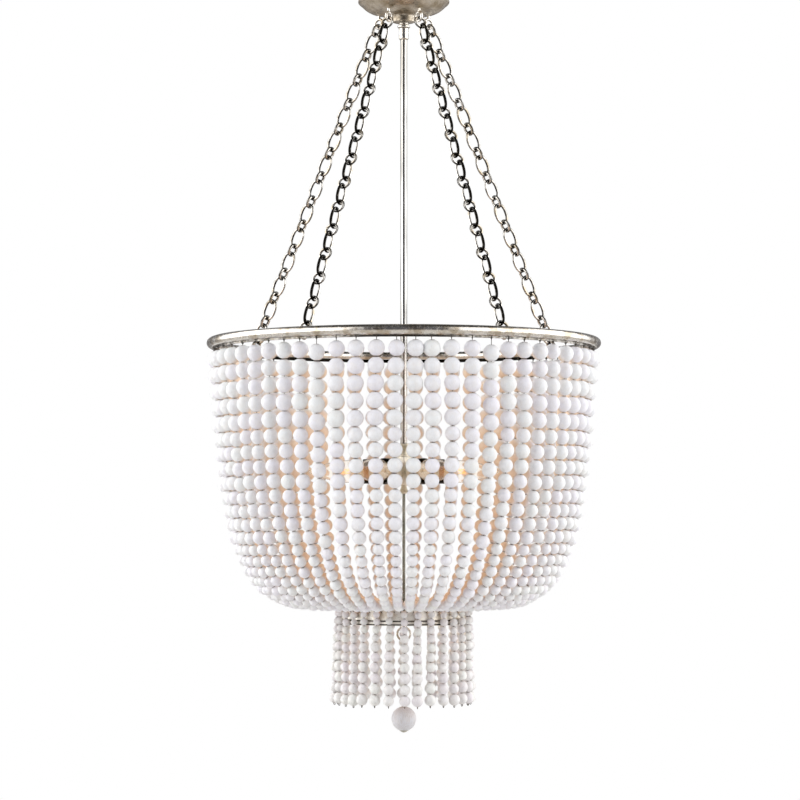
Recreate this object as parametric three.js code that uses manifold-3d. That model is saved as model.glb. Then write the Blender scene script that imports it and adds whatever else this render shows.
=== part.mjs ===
// Beaded basket chandelier, in millimetres, +Z up.
// The origin is the middle of the canopy's top edge, where it meets the ceiling, so everything hangs
// below zero. A canopy carries four chains and a centre stem. The chains carry a large hoop. Strands of
// graded beads hang from that hoop and run in to a small hoop on the lower rod. Short strands and a
// finial hang below it.

import * as THREE from 'three';
import { mergeVertices } from 'three/addons/utils/BufferGeometryUtils.js';
import Module from 'manifold-3d';

const wasm = await Module();
wasm.setup();

// Shared clearances
const gap = 0.3;
const overrun = 5;
const fuse = 0.5;

// Canopy: a spun dome with a solid boss
const canopy_d = 142;
const canopy_top_d = 134;
const canopy_wall = 2;
const rim_height = 11;
const dome_height = 19;
const dome_radius_shares = [0.9, 0.775, 0.61, 0.36, 0.12];
const dome_drop_shares = [0.23, 0.54, 0.77, 0.895, 0.97];
const boss_d = 35;
const boss_height = 11;
const boss_chamfer = 1.5;
const boss_floor = 12;

// Crossbar in the ceiling box, and the threaded nipple through it
const crossbar_end_room = 9;
const crossbar_width = 18;
const crossbar_thickness = 3;
const crossbar_slot_length = 16;
const crossbar_slot_width = 6;
const crossbar_slot_spread = 70;
const pipe_d = 10.6;
const nipple_recess = 0.5;

// Nut under the boss, coupling sleeve and stem
const nut_neck_d = 15;
const nut_neck_height = 4.2;
const nut_disc_d = 19.5;
const nut_disc_height = 4.3;
const sleeve_d = 15;
const sleeve_length = 18.4;
const sleeve_chamfer = 1.2;
const pipe_seat = 5;

// Chain eyes, and the chain's wire and links
const wire_d = 4.4;
const eye_ring_d = 14;
const canopy_eye_radius = 45.2;
const canopy_eye_drop = 38.8;
const eye_head_d = 9;
const eye_head_height = 3;
const oval_length = 36.2;
const oval_width = 23;
const round_d = 22.6;
const wire_bite = 0.4;
const back_azimuth = 31.3;
const front_azimuth = -58.7;

// Top hoop: a round tube with a drilled flange for the strands
const hoop_d = 609.6;
const hoop_tube_d = 15;
const hoop_drop = 543.5;
const flange_thickness = 2.4;
const flange_height = 2.8;
const hoop_eye_bite = 1;

// Basket strands, sixty in ten sectors
const sectors = 10;
const strands_per_sector = 6;
const strand_end_reach = 16;
const strand_end_lift = 10;
const top_bead_d = 25.2;
const end_bead_d = 13.3;
const upper_handle_radius_share = 0.9344;
const upper_handle_drop_share = 0.5205;
const lower_handle_radius_share = 0.9796;
const lower_handle_drop_share = 1.097;
const ring_place_shares = [0, 0.03, 0.45, 0.68, 0.86, 1];
const ring_size_shares = [0.45, 1, 0.86, 0.71, 0.6, 0.43];

// Lamp hub, with a cap above and below, six sockets and six bulbs
const lamps = 6;
const lamp_drop = 741;
const hub_across_flats = 34;
const hub_height = 44;
const top_cap_height = 20.5;
const top_cap_d = 30;
const top_cap_neck_d = 14.5;
const top_cap_foot_d = 20;
const top_cap_waist_share = 0.42;
const top_cap_lip = 2.5;
const bottom_cap_height = 12;
const bottom_cap_d = 16.5;
const bottom_cap_neck_d = 8;
const bottom_cap_waist_share = 0.65;
const socket_d = 38;
const socket_neck_d = 14;
const socket_neck_length = 17;
const socket_length = 29;
const socket_bore_d = 26.6;
const socket_mouth_d = 34;
const socket_mouth_depth = 7;
const socket_floor = 3;
const bulb_d = 35;
const bulb_length = 110;
const bulb_foot_d = 16;
const bulb_place_shares = [0.2, 0.4, 0.6, 0.8, 1];
const bulb_size_shares = [0.74, 1, 0.93, 0.55, 0.09];

// Lower rod and hoop
const rod_d = 4.8;
const rod_seat = 20;
const lower_hoop_d = 192;
const lower_hoop_wall = 3;
const lower_hoop_top_drop = 953;
const lower_hoop_height = 23;
const spoke_height = 6;
const spoke_width = 5;
const spokes = 4;
const spoke_hub_d = 30;

// Tassel strands below the lower hoop, thirty in pairs on one wire
const tassel_pairs = 15;
const tassel_standoff = 6;
const tassel_length = 152;
const tassel_end_bead_d = 18;
const tassel_wire_d = 2.2;
const tassel_place_shares = [0, 0.04, 0.5, 0.94, 1];
const tassel_size_shares = [0.4, 0.62, 0.8, 1, 0.3];

// Loop nut on the rod's end and the finial that hangs on it
const loop_d = 20;
const loop_wire_d = 3.4;
const loop_neck_d = 9;
const loop_neck_height = 5;
const pin_eye_d = 7.4;
const pin_wire_d = 2.2;
const finial_d = 38;
const finial_hang = 120.2;
const finial_tip_d = 8;
const finial_tip_height = 1.6;
const finial_tip_shoulder_share = 0.25;

// Facet counts
const spin_sides = 20;
const small_sides = 10;
const pin_sides = 6;
const hoop_segments = 40;
const link_sides = 4;
const bar_sides = 4;
const link_steps = 6;
const lamp_sides = 8;
const ring_steps = 8;
const loop_sides = 6;
const loop_steps = 12;
const hole_steps = 5;
const ball_rows = 8;

// Places worked out from the sizes above
const canopy_r = canopy_d / 2;
const boss_r = boss_d / 2;
const pipe_r = pipe_d / 2;
const dome_bottom = -(rim_height + dome_height);
const boss_bottom = dome_bottom - boss_height;
const nut_top = boss_bottom - gap;
const nut_bottom = nut_top - nut_neck_height - nut_disc_height;
const sleeve_top = nut_bottom - gap;
const sleeve_bottom = sleeve_top - sleeve_length;
const nipple_bottom = sleeve_top - pipe_seat;
const stem_top = nipple_bottom - gap;
const hoop_r = (hoop_d - hoop_tube_d) / 2;
const hoop_half_side = (hoop_tube_d / 2) * Math.tan(Math.PI / 8);
const flange_outer = hoop_r - hoop_half_side;
const flange_inner = flange_outer - flange_thickness;
const flange_bottom = -hoop_drop - hoop_tube_d / 2 - flange_height;
const strand_top = flange_bottom - gap;
const strand_top_radius = (flange_outer + flange_inner) / 2;
const lower_hoop_r = lower_hoop_d / 2;
const strand_end = -lower_hoop_top_drop + strand_end_lift;
const strand_end_radius = lower_hoop_r + strand_end_reach;
const tassel_radius = lower_hoop_r + tassel_standoff;
const hub_top = -lamp_drop + hub_height / 2;
const hub_bottom = -lamp_drop - hub_height / 2;
const hub_face = hub_across_flats / 2;
const stem_bottom = hub_top - rod_seat + gap;
const rod_top = hub_bottom + rod_seat;
const spoke_bottom = -lower_hoop_top_drop - lower_hoop_height;
const spoke_top = spoke_bottom + spoke_height;
const loop_top = spoke_bottom - gap;
const loop_center = loop_top - loop_neck_height - loop_d / 2;
const rod_bottom = loop_top - loop_neck_height / 2;
const pin_pivot = loop_center - loop_d / 2;
const finial_center = pin_pivot - finial_hang;

// Closed solids from rings of points, each ring a loop of the same length
function loft(rings, closed) {
  const count = rings[0].length;
  const positions = rings.flat().flatMap((point) => [point.x, point.y, point.z]);
  const faces = [];
  const spans = closed ? rings.length : rings.length - 1;
  for (let i = 0; i < spans; i += 1) {
    const here = i * count;
    const next = ((i + 1) % rings.length) * count;
    for (let j = 0; j < count; j += 1) {
      const k = (j + 1) % count;
      faces.push(here + j, here + k, next + k, here + j, next + k, next + j);
    }
  }
  if (!closed) {
    const last = (rings.length - 1) * count;
    for (let j = 1; j < count - 1; j += 1) {
      faces.push(0, j + 1, j, last, last + j, last + j + 1);
    }
  }
  const geometry = new THREE.BufferGeometry();
  geometry.setAttribute('position', new THREE.Float32BufferAttribute(positions, 3));
  geometry.setIndex(faces);
  return geometry;
}

// A ring of points round a centre, in the plane of the unit vectors u and v
function ring(center, u, v, radius, sides) {
  return Array.from({ length: sides }, (_, j) => {
    const angle = (2 * Math.PI * j) / sides;
    return center.clone()
      .addScaledVector(u, radius * Math.cos(angle))
      .addScaledVector(v, radius * Math.sin(angle));
  });
}

function toSolid(geometry) {
  const bare = geometry.clone();
  bare.deleteAttribute('normal');
  bare.deleteAttribute('uv');
  const merged = mergeVertices(bare);
  return new wasm.Manifold(new wasm.Mesh({
    numProp: 3,
    vertProperties: new Float32Array(merged.attributes.position.array),
    triVerts: new Uint32Array(merged.index.array),
  }));
}

function toGeometry(solid) {
  const mesh = solid.getMesh();
  const geometry = new THREE.BufferGeometry();
  geometry.setAttribute('position', new THREE.BufferAttribute(mesh.vertProperties, 3));
  geometry.setIndex(new THREE.BufferAttribute(mesh.triVerts, 1));
  return geometry;
}

function join(geometries) {
  return geometries.map(toSolid).reduce((whole, next) => whole.add(next));
}

// A turned shape: profile pairs of radius and height, spun about Z with its outside facing out
function spun(profile, sides) {
  const points = profile.map(([radius, height]) => new THREE.Vector2(radius, height));
  if (THREE.ShapeUtils.area(points) < 0) points.reverse();
  return new THREE.LatheGeometry(points, sides).rotateX(Math.PI / 2);
}

// A turned ring whose profile closes on itself
function spunRing(profile, sides) {
  return spun([...profile, profile[0]], sides);
}

function rod(radius, bottom, top, sides) {
  return new THREE.CylinderGeometry(radius, radius, top - bottom, sides)
    .rotateX(Math.PI / 2)
    .translate(0, 0, (top + bottom) / 2);
}

function torus(radius, wire_radius, sides, steps) {
  return new THREE.TorusGeometry(radius, wire_radius, sides, steps);
}

function polar(radius, azimuth, height) {
  const angle = THREE.MathUtils.degToRad(azimuth);
  return new THREE.Vector3(radius * Math.cos(angle), radius * Math.sin(angle), height);
}

// Finishes
const silver_leaf = new THREE.MeshStandardMaterial({ color: '#a89c8a', roughness: 0.38, metalness: 0.9 });
const plated_steel = new THREE.MeshStandardMaterial({ color: '#8e8a82', roughness: 0.4, metalness: 0.9 });
const phenolic = new THREE.MeshStandardMaterial({ color: '#1d1a18', roughness: 0.5, metalness: 0 });
const bulb_glass = new THREE.MeshStandardMaterial({ color: '#f3c98a', roughness: 0.2, metalness: 0 });
const bead_wood = new THREE.MeshStandardMaterial({ color: '#ece8e6', roughness: 0.55, metalness: 0 });

const chandelier = new THREE.Group();

function addNode(name, geometry, material) {
  const mesh = new THREE.Mesh(geometry, material);
  mesh.name = name;
  chandelier.add(mesh);
  return mesh;
}

// The dome's outside and inside as points from the rim in to the boss
const bore_r = pipe_r + gap;
const dome = dome_radius_shares.map((share, i) => [
  boss_r + share * (canopy_r - boss_r),
  -rim_height - dome_drop_shares[i] * dome_height,
]);
const dome_inside = [
  [canopy_r - canopy_wall, -rim_height],
  ...dome.map(([radius, height]) => [radius - canopy_wall, height + canopy_wall]),
  [boss_r, boss_bottom + boss_floor],
];

// Canopy shell: rolled rim, ogee dome, boss, then back up the bore and along the inside
function canopyShell() {
  return spunRing([
    [canopy_top_d / 2, 0],
    [canopy_r, -rim_height],
    ...dome,
    [boss_r, dome_bottom],
    [boss_r, boss_bottom + boss_chamfer],
    [boss_r - boss_chamfer, boss_bottom],
    [bore_r, boss_bottom],
    [bore_r, boss_bottom + boss_floor],
    ...dome_inside.toReversed(),
    [canopy_top_d / 2 - canopy_wall, 0],
  ], spin_sides);
}

// The height of the dome's inside at a radius
function insideHeight(radius) {
  const i = dome_inside.findIndex(([reach]) => reach < radius);
  const [[outer, high], [inner, low]] = [dome_inside[i - 1], dome_inside[i]];
  return low + ((high - low) * (radius - inner)) / (outer - inner);
}

const chain_azimuths = [front_azimuth, back_azimuth, 180 - back_azimuth, 180 - front_azimuth];
const eye_r = eye_ring_d / 2;
const wire_r = wire_d / 2;

function buildCanopy() {
  let shell = toSolid(canopyShell());
  for (const azimuth of chain_azimuths) {
    const drill = rod(wire_r + gap, -canopy_eye_drop, overrun, pin_sides)
      .translate(canopy_eye_radius, 0, 0)
      .rotateZ(THREE.MathUtils.degToRad(azimuth));
    shell = shell.subtract(toSolid(drill));
  }
  addNode('canopy', toGeometry(shell), silver_leaf);
}

// An eye bolt: a ring below the dome, a shank through it and a head that rests on the inside
function buildCanopyEyes() {
  const inside = insideHeight(canopy_eye_radius + eye_head_d / 2) + gap;
  chain_azimuths.forEach((azimuth, i) => {
    const circle = torus(eye_r, wire_r, link_sides, ring_steps)
      .rotateX(Math.PI / 2)
      .translate(0, 0, -canopy_eye_drop);
    const shank = rod(wire_r, -canopy_eye_drop + eye_r, inside + fuse, pin_sides);
    const head = rod(eye_head_d / 2, inside, inside + eye_head_height, pin_sides);
    const eye = toGeometry(join([circle, shank, head]))
      .translate(canopy_eye_radius, 0, 0)
      .rotateZ(THREE.MathUtils.degToRad(azimuth));
    addNode(`canopy_eye_${i + 1}`, eye, silver_leaf);
  });
}

function buildCrossbar() {
  const half = canopy_top_d / 2 - canopy_wall - crossbar_end_room;
  const side = crossbar_width / 2;
  const plate = new THREE.Shape([
    new THREE.Vector2(-half, -side),
    new THREE.Vector2(half, -side),
    new THREE.Vector2(half, side),
    new THREE.Vector2(-half, side),
  ]);
  plate.holes.push(new THREE.Path().absarc(0, 0, pipe_r + gap, 0, 2 * Math.PI, true));
  for (const sign of [-1, 1]) {
    const middle = (sign * crossbar_slot_spread) / 2;
    const reach = crossbar_slot_length / 2;
    const slot_r = crossbar_slot_width / 2;
    plate.holes.push(new THREE.Path([
      new THREE.Vector2(middle - reach, -slot_r),
      new THREE.Vector2(middle - reach, slot_r),
      new THREE.Vector2(middle + reach, slot_r),
      new THREE.Vector2(middle + reach, -slot_r),
    ]));
  }
  const bar = new THREE.ExtrudeGeometry(plate, {
    depth: crossbar_thickness,
    bevelEnabled: false,
    curveSegments: hole_steps,
  });
  addNode('ceiling_crossbar', bar.translate(0, 0, -crossbar_thickness), plated_steel);
}

function buildStem() {
  addNode('crossbar_nipple', rod(pipe_r, nipple_bottom, -nipple_recess, small_sides), plated_steel);
  addNode('canopy_nut', spunRing([
    [bore_r, nut_top],
    [bore_r, nut_bottom],
    [nut_disc_d / 2, nut_bottom],
    [nut_disc_d / 2, nut_bottom + nut_disc_height],
    [nut_neck_d / 2, nut_bottom + nut_disc_height],
    [nut_neck_d / 2, nut_top],
  ], small_sides), silver_leaf);
  addNode('stem_sleeve', spunRing([
    [bore_r, sleeve_top],
    [bore_r, sleeve_bottom],
    [sleeve_d / 2 - sleeve_chamfer, sleeve_bottom],
    [sleeve_d / 2, sleeve_bottom + sleeve_chamfer],
    [sleeve_d / 2, sleeve_top],
  ], small_sides), silver_leaf);
  addNode('stem', rod(pipe_r, stem_bottom, stem_top, small_sides), silver_leaf);
}

// The line that each taut chain follows, in a plane through the axis
const hoop_eye_drop = hoop_drop + wire_r;
const hoop_eye_radius = hoop_r - hoop_tube_d / 2 - eye_r - wire_r + hoop_eye_bite;
const chain_start = new THREE.Vector2(canopy_eye_radius, -canopy_eye_drop);
const chain_end = new THREE.Vector2(hoop_eye_radius, -hoop_eye_drop);
const chain_way = chain_end.clone().sub(chain_start).normalize();
const eye_seat = eye_r - wire_r - wire_r - gap;

// One closed link: a rounded loop of wire in the plane of the unit vectors along and across.
// Its corners start half a step round, so that a straight side bears on the next link.
function link(center, along, across, half_length, half_width) {
  const normal = new THREE.Vector3().crossVectors(along, across);
  const end_share = Math.cos(Math.PI / link_steps);
  const corners = Array.from({ length: link_steps }, (_, i) => {
    const angle = (2 * Math.PI * (i + 0.5)) / link_steps;
    return center.clone()
      .addScaledVector(along, (half_length * Math.cos(angle)) / end_share)
      .addScaledVector(across, half_width * Math.sin(angle));
  });
  const sides = corners.map((corner, i) => {
    const next = corners[(i + 1) % link_steps];
    return next.clone().sub(corner).cross(normal).normalize();
  });
  const rings = corners.map((corner, i) => {
    const before = sides[(i + link_steps - 1) % link_steps];
    const outward = before.clone().add(sides[i]).divideScalar(1 + before.dot(sides[i]));
    return ring(corner, normal, outward, wire_r, link_sides);
  });
  return loft(rings, true);
}

// A taut chain in the XZ plane: round links stand across that plane and oval links lie in it.
// Their number comes from the distance between the eyes, and their length takes up what is left over,
// so that each link bears on the next by the wire's bite.
function chainGeometry() {
  const along = new THREE.Vector3(chain_way.x, 0, chain_way.y);
  const sideways = new THREE.Vector3(0, 1, 0);
  const inPlane = new THREE.Vector3().crossVectors(along, sideways);
  const oval_reach = oval_length - wire_d;
  const round_reach = round_d - wire_d;
  const held = wire_d - wire_bite;
  const span = chain_end.distanceTo(chain_start) - 2 * eye_seat;
  const pairs = Math.round((span - round_reach) / (oval_reach + round_reach - 2 * held));
  const fit = (span + 2 * pairs * held) / (pairs * oval_reach + (pairs + 1) * round_reach);
  let place = eye_seat;
  const links = [];
  for (let i = 0; i <= 2 * pairs; i += 1) {
    const is_round = i % 2 === 0;
    const half = (fit * (is_round ? round_reach : oval_reach)) / 2;
    const at = chain_start.clone().addScaledVector(chain_way, place + half);
    const center = new THREE.Vector3(at.x, 0, at.y);
    links.push(is_round
      ? link(center, along, sideways, half, round_reach / 2)
      : link(center, along, inPlane, half, (oval_width - wire_d) / 2));
    place += 2 * half - held;
  }
  return toGeometry(join(links));
}

function buildChains() {
  const chain = chainGeometry();
  chain_azimuths.forEach((azimuth, i) => {
    addNode(`chain_${i + 1}`, chain.clone().rotateZ(THREE.MathUtils.degToRad(azimuth)), silver_leaf);
  });
}

// The big hoop: an eight-sided tube whose lower inner corner grows a flange, and four welded eyes
function buildTopHoop() {
  const flat = hoop_tube_d / 2;
  const tube = spunRing([
    [hoop_r + flat, -hoop_drop + hoop_half_side],
    [hoop_r + hoop_half_side, -hoop_drop + flat],
    [hoop_r - hoop_half_side, -hoop_drop + flat],
    [hoop_r - flat, -hoop_drop + hoop_half_side],
    [hoop_r - flat, -hoop_drop - hoop_half_side],
    [flange_inner, -hoop_drop - flat + flange_thickness],
    [flange_inner, flange_bottom],
    [flange_outer, flange_bottom],
    [flange_outer, -hoop_drop - flat],
    [hoop_r + hoop_half_side, -hoop_drop - flat],
    [hoop_r + flat, -hoop_drop - hoop_half_side],
  ], hoop_segments);
  const pieces = [tube];
  for (const azimuth of chain_azimuths) {
    const circle = torus(eye_r, wire_r, link_sides, ring_steps)
      .rotateX(Math.PI / 2)
      .translate(hoop_eye_radius, 0, -hoop_eye_drop)
      .rotateZ(THREE.MathUtils.degToRad(azimuth));
    pieces.push(circle);
  }
  addNode('top_hoop', toGeometry(join(pieces)), silver_leaf);
}

// The curve that a basket strand hangs in, as radius and height
const strand_curve = new THREE.CubicBezierCurve(
  new THREE.Vector2(strand_top_radius, strand_top),
  strandHandle(upper_handle_radius_share, upper_handle_drop_share),
  strandHandle(lower_handle_radius_share, lower_handle_drop_share),
  new THREE.Vector2(strand_end_radius, strand_end),
);

function strandHandle(radius_share, drop_share) {
  const drop = (strand_top - strand_end) * drop_share;
  return new THREE.Vector2(strand_top_radius * radius_share, strand_top - drop);
}

// One strand of graded beads as a slim tapering bar of four sides
function strandBar(azimuth) {
  const out = polar(1, azimuth, 0);
  const side = polar(1, azimuth + 90, 0);
  const rings = ring_place_shares.map((share, i) => {
    const place = strand_curve.getPointAt(share);
    const way = strand_curve.getTangentAt(share);
    const center = out.clone().multiplyScalar(place.x).setZ(place.y);
    const across = out.clone().multiplyScalar(-way.y).setZ(way.x);
    return ring(center, side, across, (top_bead_d / 2) * ring_size_shares[i], bar_sides);
  });
  return loft(rings, false);
}

// The row where the last beads of a sector bear on each other, round the lower hoop
function endRow(middle, reach) {
  const steps = strands_per_sector;
  const rings = Array.from({ length: steps + 1 }, (_, i) => {
    const azimuth = middle - reach + (2 * reach * i) / steps;
    const out = polar(1, azimuth, 0);
    const center = polar(strand_end_radius, azimuth, strand_end);
    return ring(center, out, new THREE.Vector3(0, 0, 1), end_bead_d / 2, bar_sides).reverse();
  });
  return loft(rings, false);
}

function buildBasket() {
  const pitch = 360 / (sectors * strands_per_sector);
  const sector_angle = pitch * strands_per_sector;
  const reach = sector_angle / 2 - THREE.MathUtils.radToDeg(gap / 2 / strand_end_radius);
  for (let i = 0; i < sectors; i += 1) {
    const start = -90 + i * sector_angle;
    const pieces = [endRow(start + sector_angle / 2, reach)];
    for (let j = 0; j < strands_per_sector; j += 1) {
      pieces.push(strandBar(start + (j + 0.5) * pitch));
    }
    const number = String(i + 1).padStart(2, '0');
    addNode(`basket_strands_${number}`, toGeometry(join(pieces)), bead_wood);
  }
}

function buildLampHub() {
  const corner_r = hub_face / Math.cos(Math.PI / lamps);
  const drilled = toSolid(rod(corner_r, hub_bottom, hub_top, lamps))
    .subtract(toSolid(rod(bore_r, stem_bottom - gap, hub_top + overrun, small_sides)))
    .subtract(toSolid(rod(rod_d / 2 + gap, hub_bottom - overrun, rod_top + gap, pin_sides)));
  addNode('lamp_hub', toGeometry(drilled), silver_leaf);
  const cap_bottom = hub_top + gap;
  const cap_top = cap_bottom + top_cap_height;
  addNode('hub_top_cap', spunRing([
    [bore_r, cap_bottom],
    [bore_r, cap_top],
    [top_cap_d / 2, cap_top],
    [top_cap_d / 2, cap_top - top_cap_lip],
    [top_cap_neck_d / 2, cap_bottom + top_cap_height * top_cap_waist_share],
    [top_cap_foot_d / 2, cap_bottom + top_cap_lip],
    [top_cap_foot_d / 2, cap_bottom],
  ], small_sides), silver_leaf);
  const top = hub_bottom - gap;
  const low = top - bottom_cap_height;
  addNode('hub_bottom_cap', spunRing([
    [rod_d / 2 + gap, top],
    [rod_d / 2 + gap, low],
    [bottom_cap_d / 2, low],
    [bottom_cap_d / 2, low + top_cap_lip],
    [(bottom_cap_neck_d + bottom_cap_d) / 4, low + bottom_cap_height * bottom_cap_waist_share],
    [bottom_cap_neck_d / 2, top],
  ], small_sides), silver_leaf);
}

// Sockets and bulbs are turned about Z from the hub face outwards, then laid out along X
const socket_start = hub_face + gap;
const shell_start = socket_start + socket_neck_length;
const socket_end = shell_start + socket_length;
const socket_floor_end = shell_start + socket_floor;

function socketGeometry() {
  return spun([
    [0, socket_start],
    [socket_neck_d / 2, socket_start],
    [socket_neck_d / 2, shell_start],
    [socket_d / 2, shell_start],
    [socket_d / 2, socket_end],
    [socket_mouth_d / 2, socket_end],
    [socket_mouth_d / 2, socket_end - socket_mouth_depth],
    [socket_bore_d / 2, socket_end - socket_mouth_depth],
    [socket_bore_d / 2, socket_floor_end],
    [0, socket_floor_end],
  ], lamp_sides);
}

function bulbGeometry() {
  const start = socket_floor_end + gap;
  const base_r = socket_bore_d / 2 - gap;
  const glass = bulb_place_shares.map((share, i) => [
    (bulb_d / 2) * bulb_size_shares[i],
    start + bulb_length * share,
  ]);
  return spun([
    [0, start],
    [bulb_foot_d / 2, start],
    [base_r, start + socket_floor],
    ...glass,
    [0, start + bulb_length],
  ], lamp_sides);
}

function buildLamps() {
  for (let i = 0; i < lamps; i += 1) {
    const turn = (2 * Math.PI * i) / lamps;
    const socket = addNode(`socket_${i + 1}`, socketGeometry(), phenolic);
    const bulb = addNode(`bulb_${i + 1}`, bulbGeometry(), bulb_glass);
    for (const mesh of [socket, bulb]) {
      mesh.geometry.rotateY(Math.PI / 2);
      mesh.position.z = -lamp_drop;
      mesh.rotation.z = turn;
    }
  }
}

// The lower hoop: a flat band, its hub and the spokes between them
function buildLowerHoop() {
  addNode('lower_rod', rod(rod_d / 2, rod_bottom, rod_top, pin_sides), silver_leaf);
  const outer = lower_hoop_r;
  const inner = outer - lower_hoop_wall;
  const pieces = [
    spunRing([
      [outer, -lower_hoop_top_drop],
      [inner, -lower_hoop_top_drop],
      [inner, spoke_bottom],
      [outer, spoke_bottom],
    ], hoop_segments),
    rod(spoke_hub_d / 2, spoke_bottom, spoke_top, small_sides),
  ];
  for (let i = 0; i < spokes / 2; i += 1) {
    const spoke = new THREE.BoxGeometry(2 * inner + lower_hoop_wall, spoke_width, spoke_height);
    const turn = (2 * Math.PI * i) / spokes;
    pieces.push(spoke.translate(0, 0, (spoke_top + spoke_bottom) / 2).rotateZ(turn));
  }
  const bore = rod(rod_d / 2 + gap, spoke_bottom - overrun, spoke_top + overrun, pin_sides);
  addNode('lower_hoop', toGeometry(join(pieces).subtract(toSolid(bore))), silver_leaf);
}

// Two tassel strands on one wire that lies over the lower hoop's top edge
const tassel_wire_r = tassel_wire_d / 2;
const tassel_pivot = -lower_hoop_top_drop + gap + tassel_wire_r;
const tassel_seat_radius = lower_hoop_r - lower_hoop_wall / 2;

function tasselBar(azimuth) {
  const out = polar(1, azimuth, 0);
  const side = polar(1, azimuth + 90, 0);
  const rings = tassel_place_shares.map((share, i) => {
    const center = polar(tassel_radius, azimuth, tassel_pivot + tassel_wire_r - tassel_length * share);
    return ring(center, side, out, (tassel_end_bead_d / 2) * tassel_size_shares[i], bar_sides);
  });
  return loft(rings, false);
}

function tasselWire(first, second) {
  const up = new THREE.Vector3(0, 0, 1);
  const corner = [first, second].map((azimuth) => polar(tassel_seat_radius, azimuth, tassel_pivot));
  const end = [first, second].map((azimuth) => polar(tassel_radius, azimuth, tassel_pivot));
  const path = [end[0], corner[0], corner[1], end[1]];
  const rings = path.map((place, i) => {
    const before = path[Math.max(i - 1, 0)];
    const after = path[Math.min(i + 1, path.length - 1)];
    const way = after.clone().sub(before).normalize();
    const side = new THREE.Vector3().crossVectors(up, way).normalize();
    return ring(place, side, up, tassel_wire_r, bar_sides);
  });
  return loft(rings, false);
}

function buildTassels() {
  const pitch = 360 / tassel_pairs / 2;
  for (let i = 0; i < tassel_pairs; i += 1) {
    const first = -90 + 2 * i * pitch;
    const second = first + pitch;
    const pair = join([tasselWire(first, second), tasselBar(first), tasselBar(second)]);
    const number = String(i + 1).padStart(2, '0');
    addNode(`tassel_pair_${number}`, toGeometry(pair), bead_wood);
  }
}

function buildFinial() {
  const neck = rod(loop_neck_d / 2, loop_top - loop_neck_height - fuse, loop_top, pin_sides);
  const circle = torus(loop_d / 2, loop_wire_d / 2, loop_sides, loop_steps)
    .rotateX(Math.PI / 2)
    .translate(0, 0, loop_center);
  const bore = rod(rod_d / 2 + gap, rod_bottom - gap, loop_top + overrun, pin_sides);
  addNode('rod_loop', toGeometry(join([neck, circle]).subtract(toSolid(bore))), silver_leaf);

  const pin_r = pin_wire_d / 2;
  const eye_center = pin_pivot - (pin_eye_d / 2 - pin_r - loop_wire_d / 2 - gap);
  const eye = torus(pin_eye_d / 2, pin_r, link_sides, ring_steps)
    .rotateY(Math.PI / 2)
    .translate(0, 0, eye_center);
  const ball_bottom = finial_center - finial_d / 2;
  const tip_top = ball_bottom - gap;
  const shank = rod(pin_r, tip_top - fuse, eye_center - pin_eye_d / 2 + fuse, pin_sides);
  const tip = spun([
    [0, tip_top - finial_tip_height],
    [finial_tip_d / 2, tip_top - finial_tip_height * finial_tip_shoulder_share],
    [finial_tip_d / 2, tip_top],
    [0, tip_top],
  ], pin_sides);
  addNode('finial_pin', toGeometry(join([eye, shank, tip])), silver_leaf);

  const ball = new THREE.SphereGeometry(finial_d / 2, small_sides, ball_rows)
    .rotateX(Math.PI / 2)
    .translate(0, 0, finial_center);
  const hole = rod(pin_r + gap, ball_bottom - overrun, finial_center + finial_d, pin_sides);
  addNode('finial_ball', toGeometry(toSolid(ball).subtract(toSolid(hole))), bead_wood);
}

buildCrossbar();
buildCanopy();
buildCanopyEyes();
buildStem();
buildChains();
buildTopHoop();
buildBasket();
buildLampHub();
buildLamps();
buildLowerHoop();
buildTassels();
buildFinial();

export default chandelier;
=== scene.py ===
"""Beaded basket chandelier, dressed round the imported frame.

Named lengths are millimetres, and points are metres in the frame's own axes: +Z up, the camera on -Y.
"""

import math

import bpy
import numpy as np
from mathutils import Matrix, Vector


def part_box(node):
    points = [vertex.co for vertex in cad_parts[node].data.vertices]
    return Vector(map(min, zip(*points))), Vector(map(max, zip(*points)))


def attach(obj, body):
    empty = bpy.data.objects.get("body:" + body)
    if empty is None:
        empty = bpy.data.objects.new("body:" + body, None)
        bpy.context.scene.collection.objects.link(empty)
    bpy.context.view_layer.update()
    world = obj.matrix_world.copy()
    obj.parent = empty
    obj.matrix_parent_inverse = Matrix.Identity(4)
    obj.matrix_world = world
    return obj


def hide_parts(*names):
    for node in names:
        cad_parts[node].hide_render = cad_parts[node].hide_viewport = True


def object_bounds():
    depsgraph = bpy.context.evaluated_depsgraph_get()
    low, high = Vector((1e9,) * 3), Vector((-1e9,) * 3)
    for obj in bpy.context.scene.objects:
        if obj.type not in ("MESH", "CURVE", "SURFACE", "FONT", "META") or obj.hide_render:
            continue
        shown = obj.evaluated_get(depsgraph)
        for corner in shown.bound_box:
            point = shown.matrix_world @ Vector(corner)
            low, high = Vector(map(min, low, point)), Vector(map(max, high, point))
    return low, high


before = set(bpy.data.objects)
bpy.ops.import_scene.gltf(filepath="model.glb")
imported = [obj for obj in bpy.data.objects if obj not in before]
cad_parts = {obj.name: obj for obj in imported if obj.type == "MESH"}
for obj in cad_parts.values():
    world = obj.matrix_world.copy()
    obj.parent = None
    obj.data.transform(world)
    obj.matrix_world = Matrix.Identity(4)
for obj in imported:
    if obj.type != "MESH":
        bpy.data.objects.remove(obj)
cad_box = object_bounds()
rng = np.random.default_rng(20)

# A millimetre in metres, and the clearance of fits in millimetres
MM = 0.001
GAP = 0.3

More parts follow.
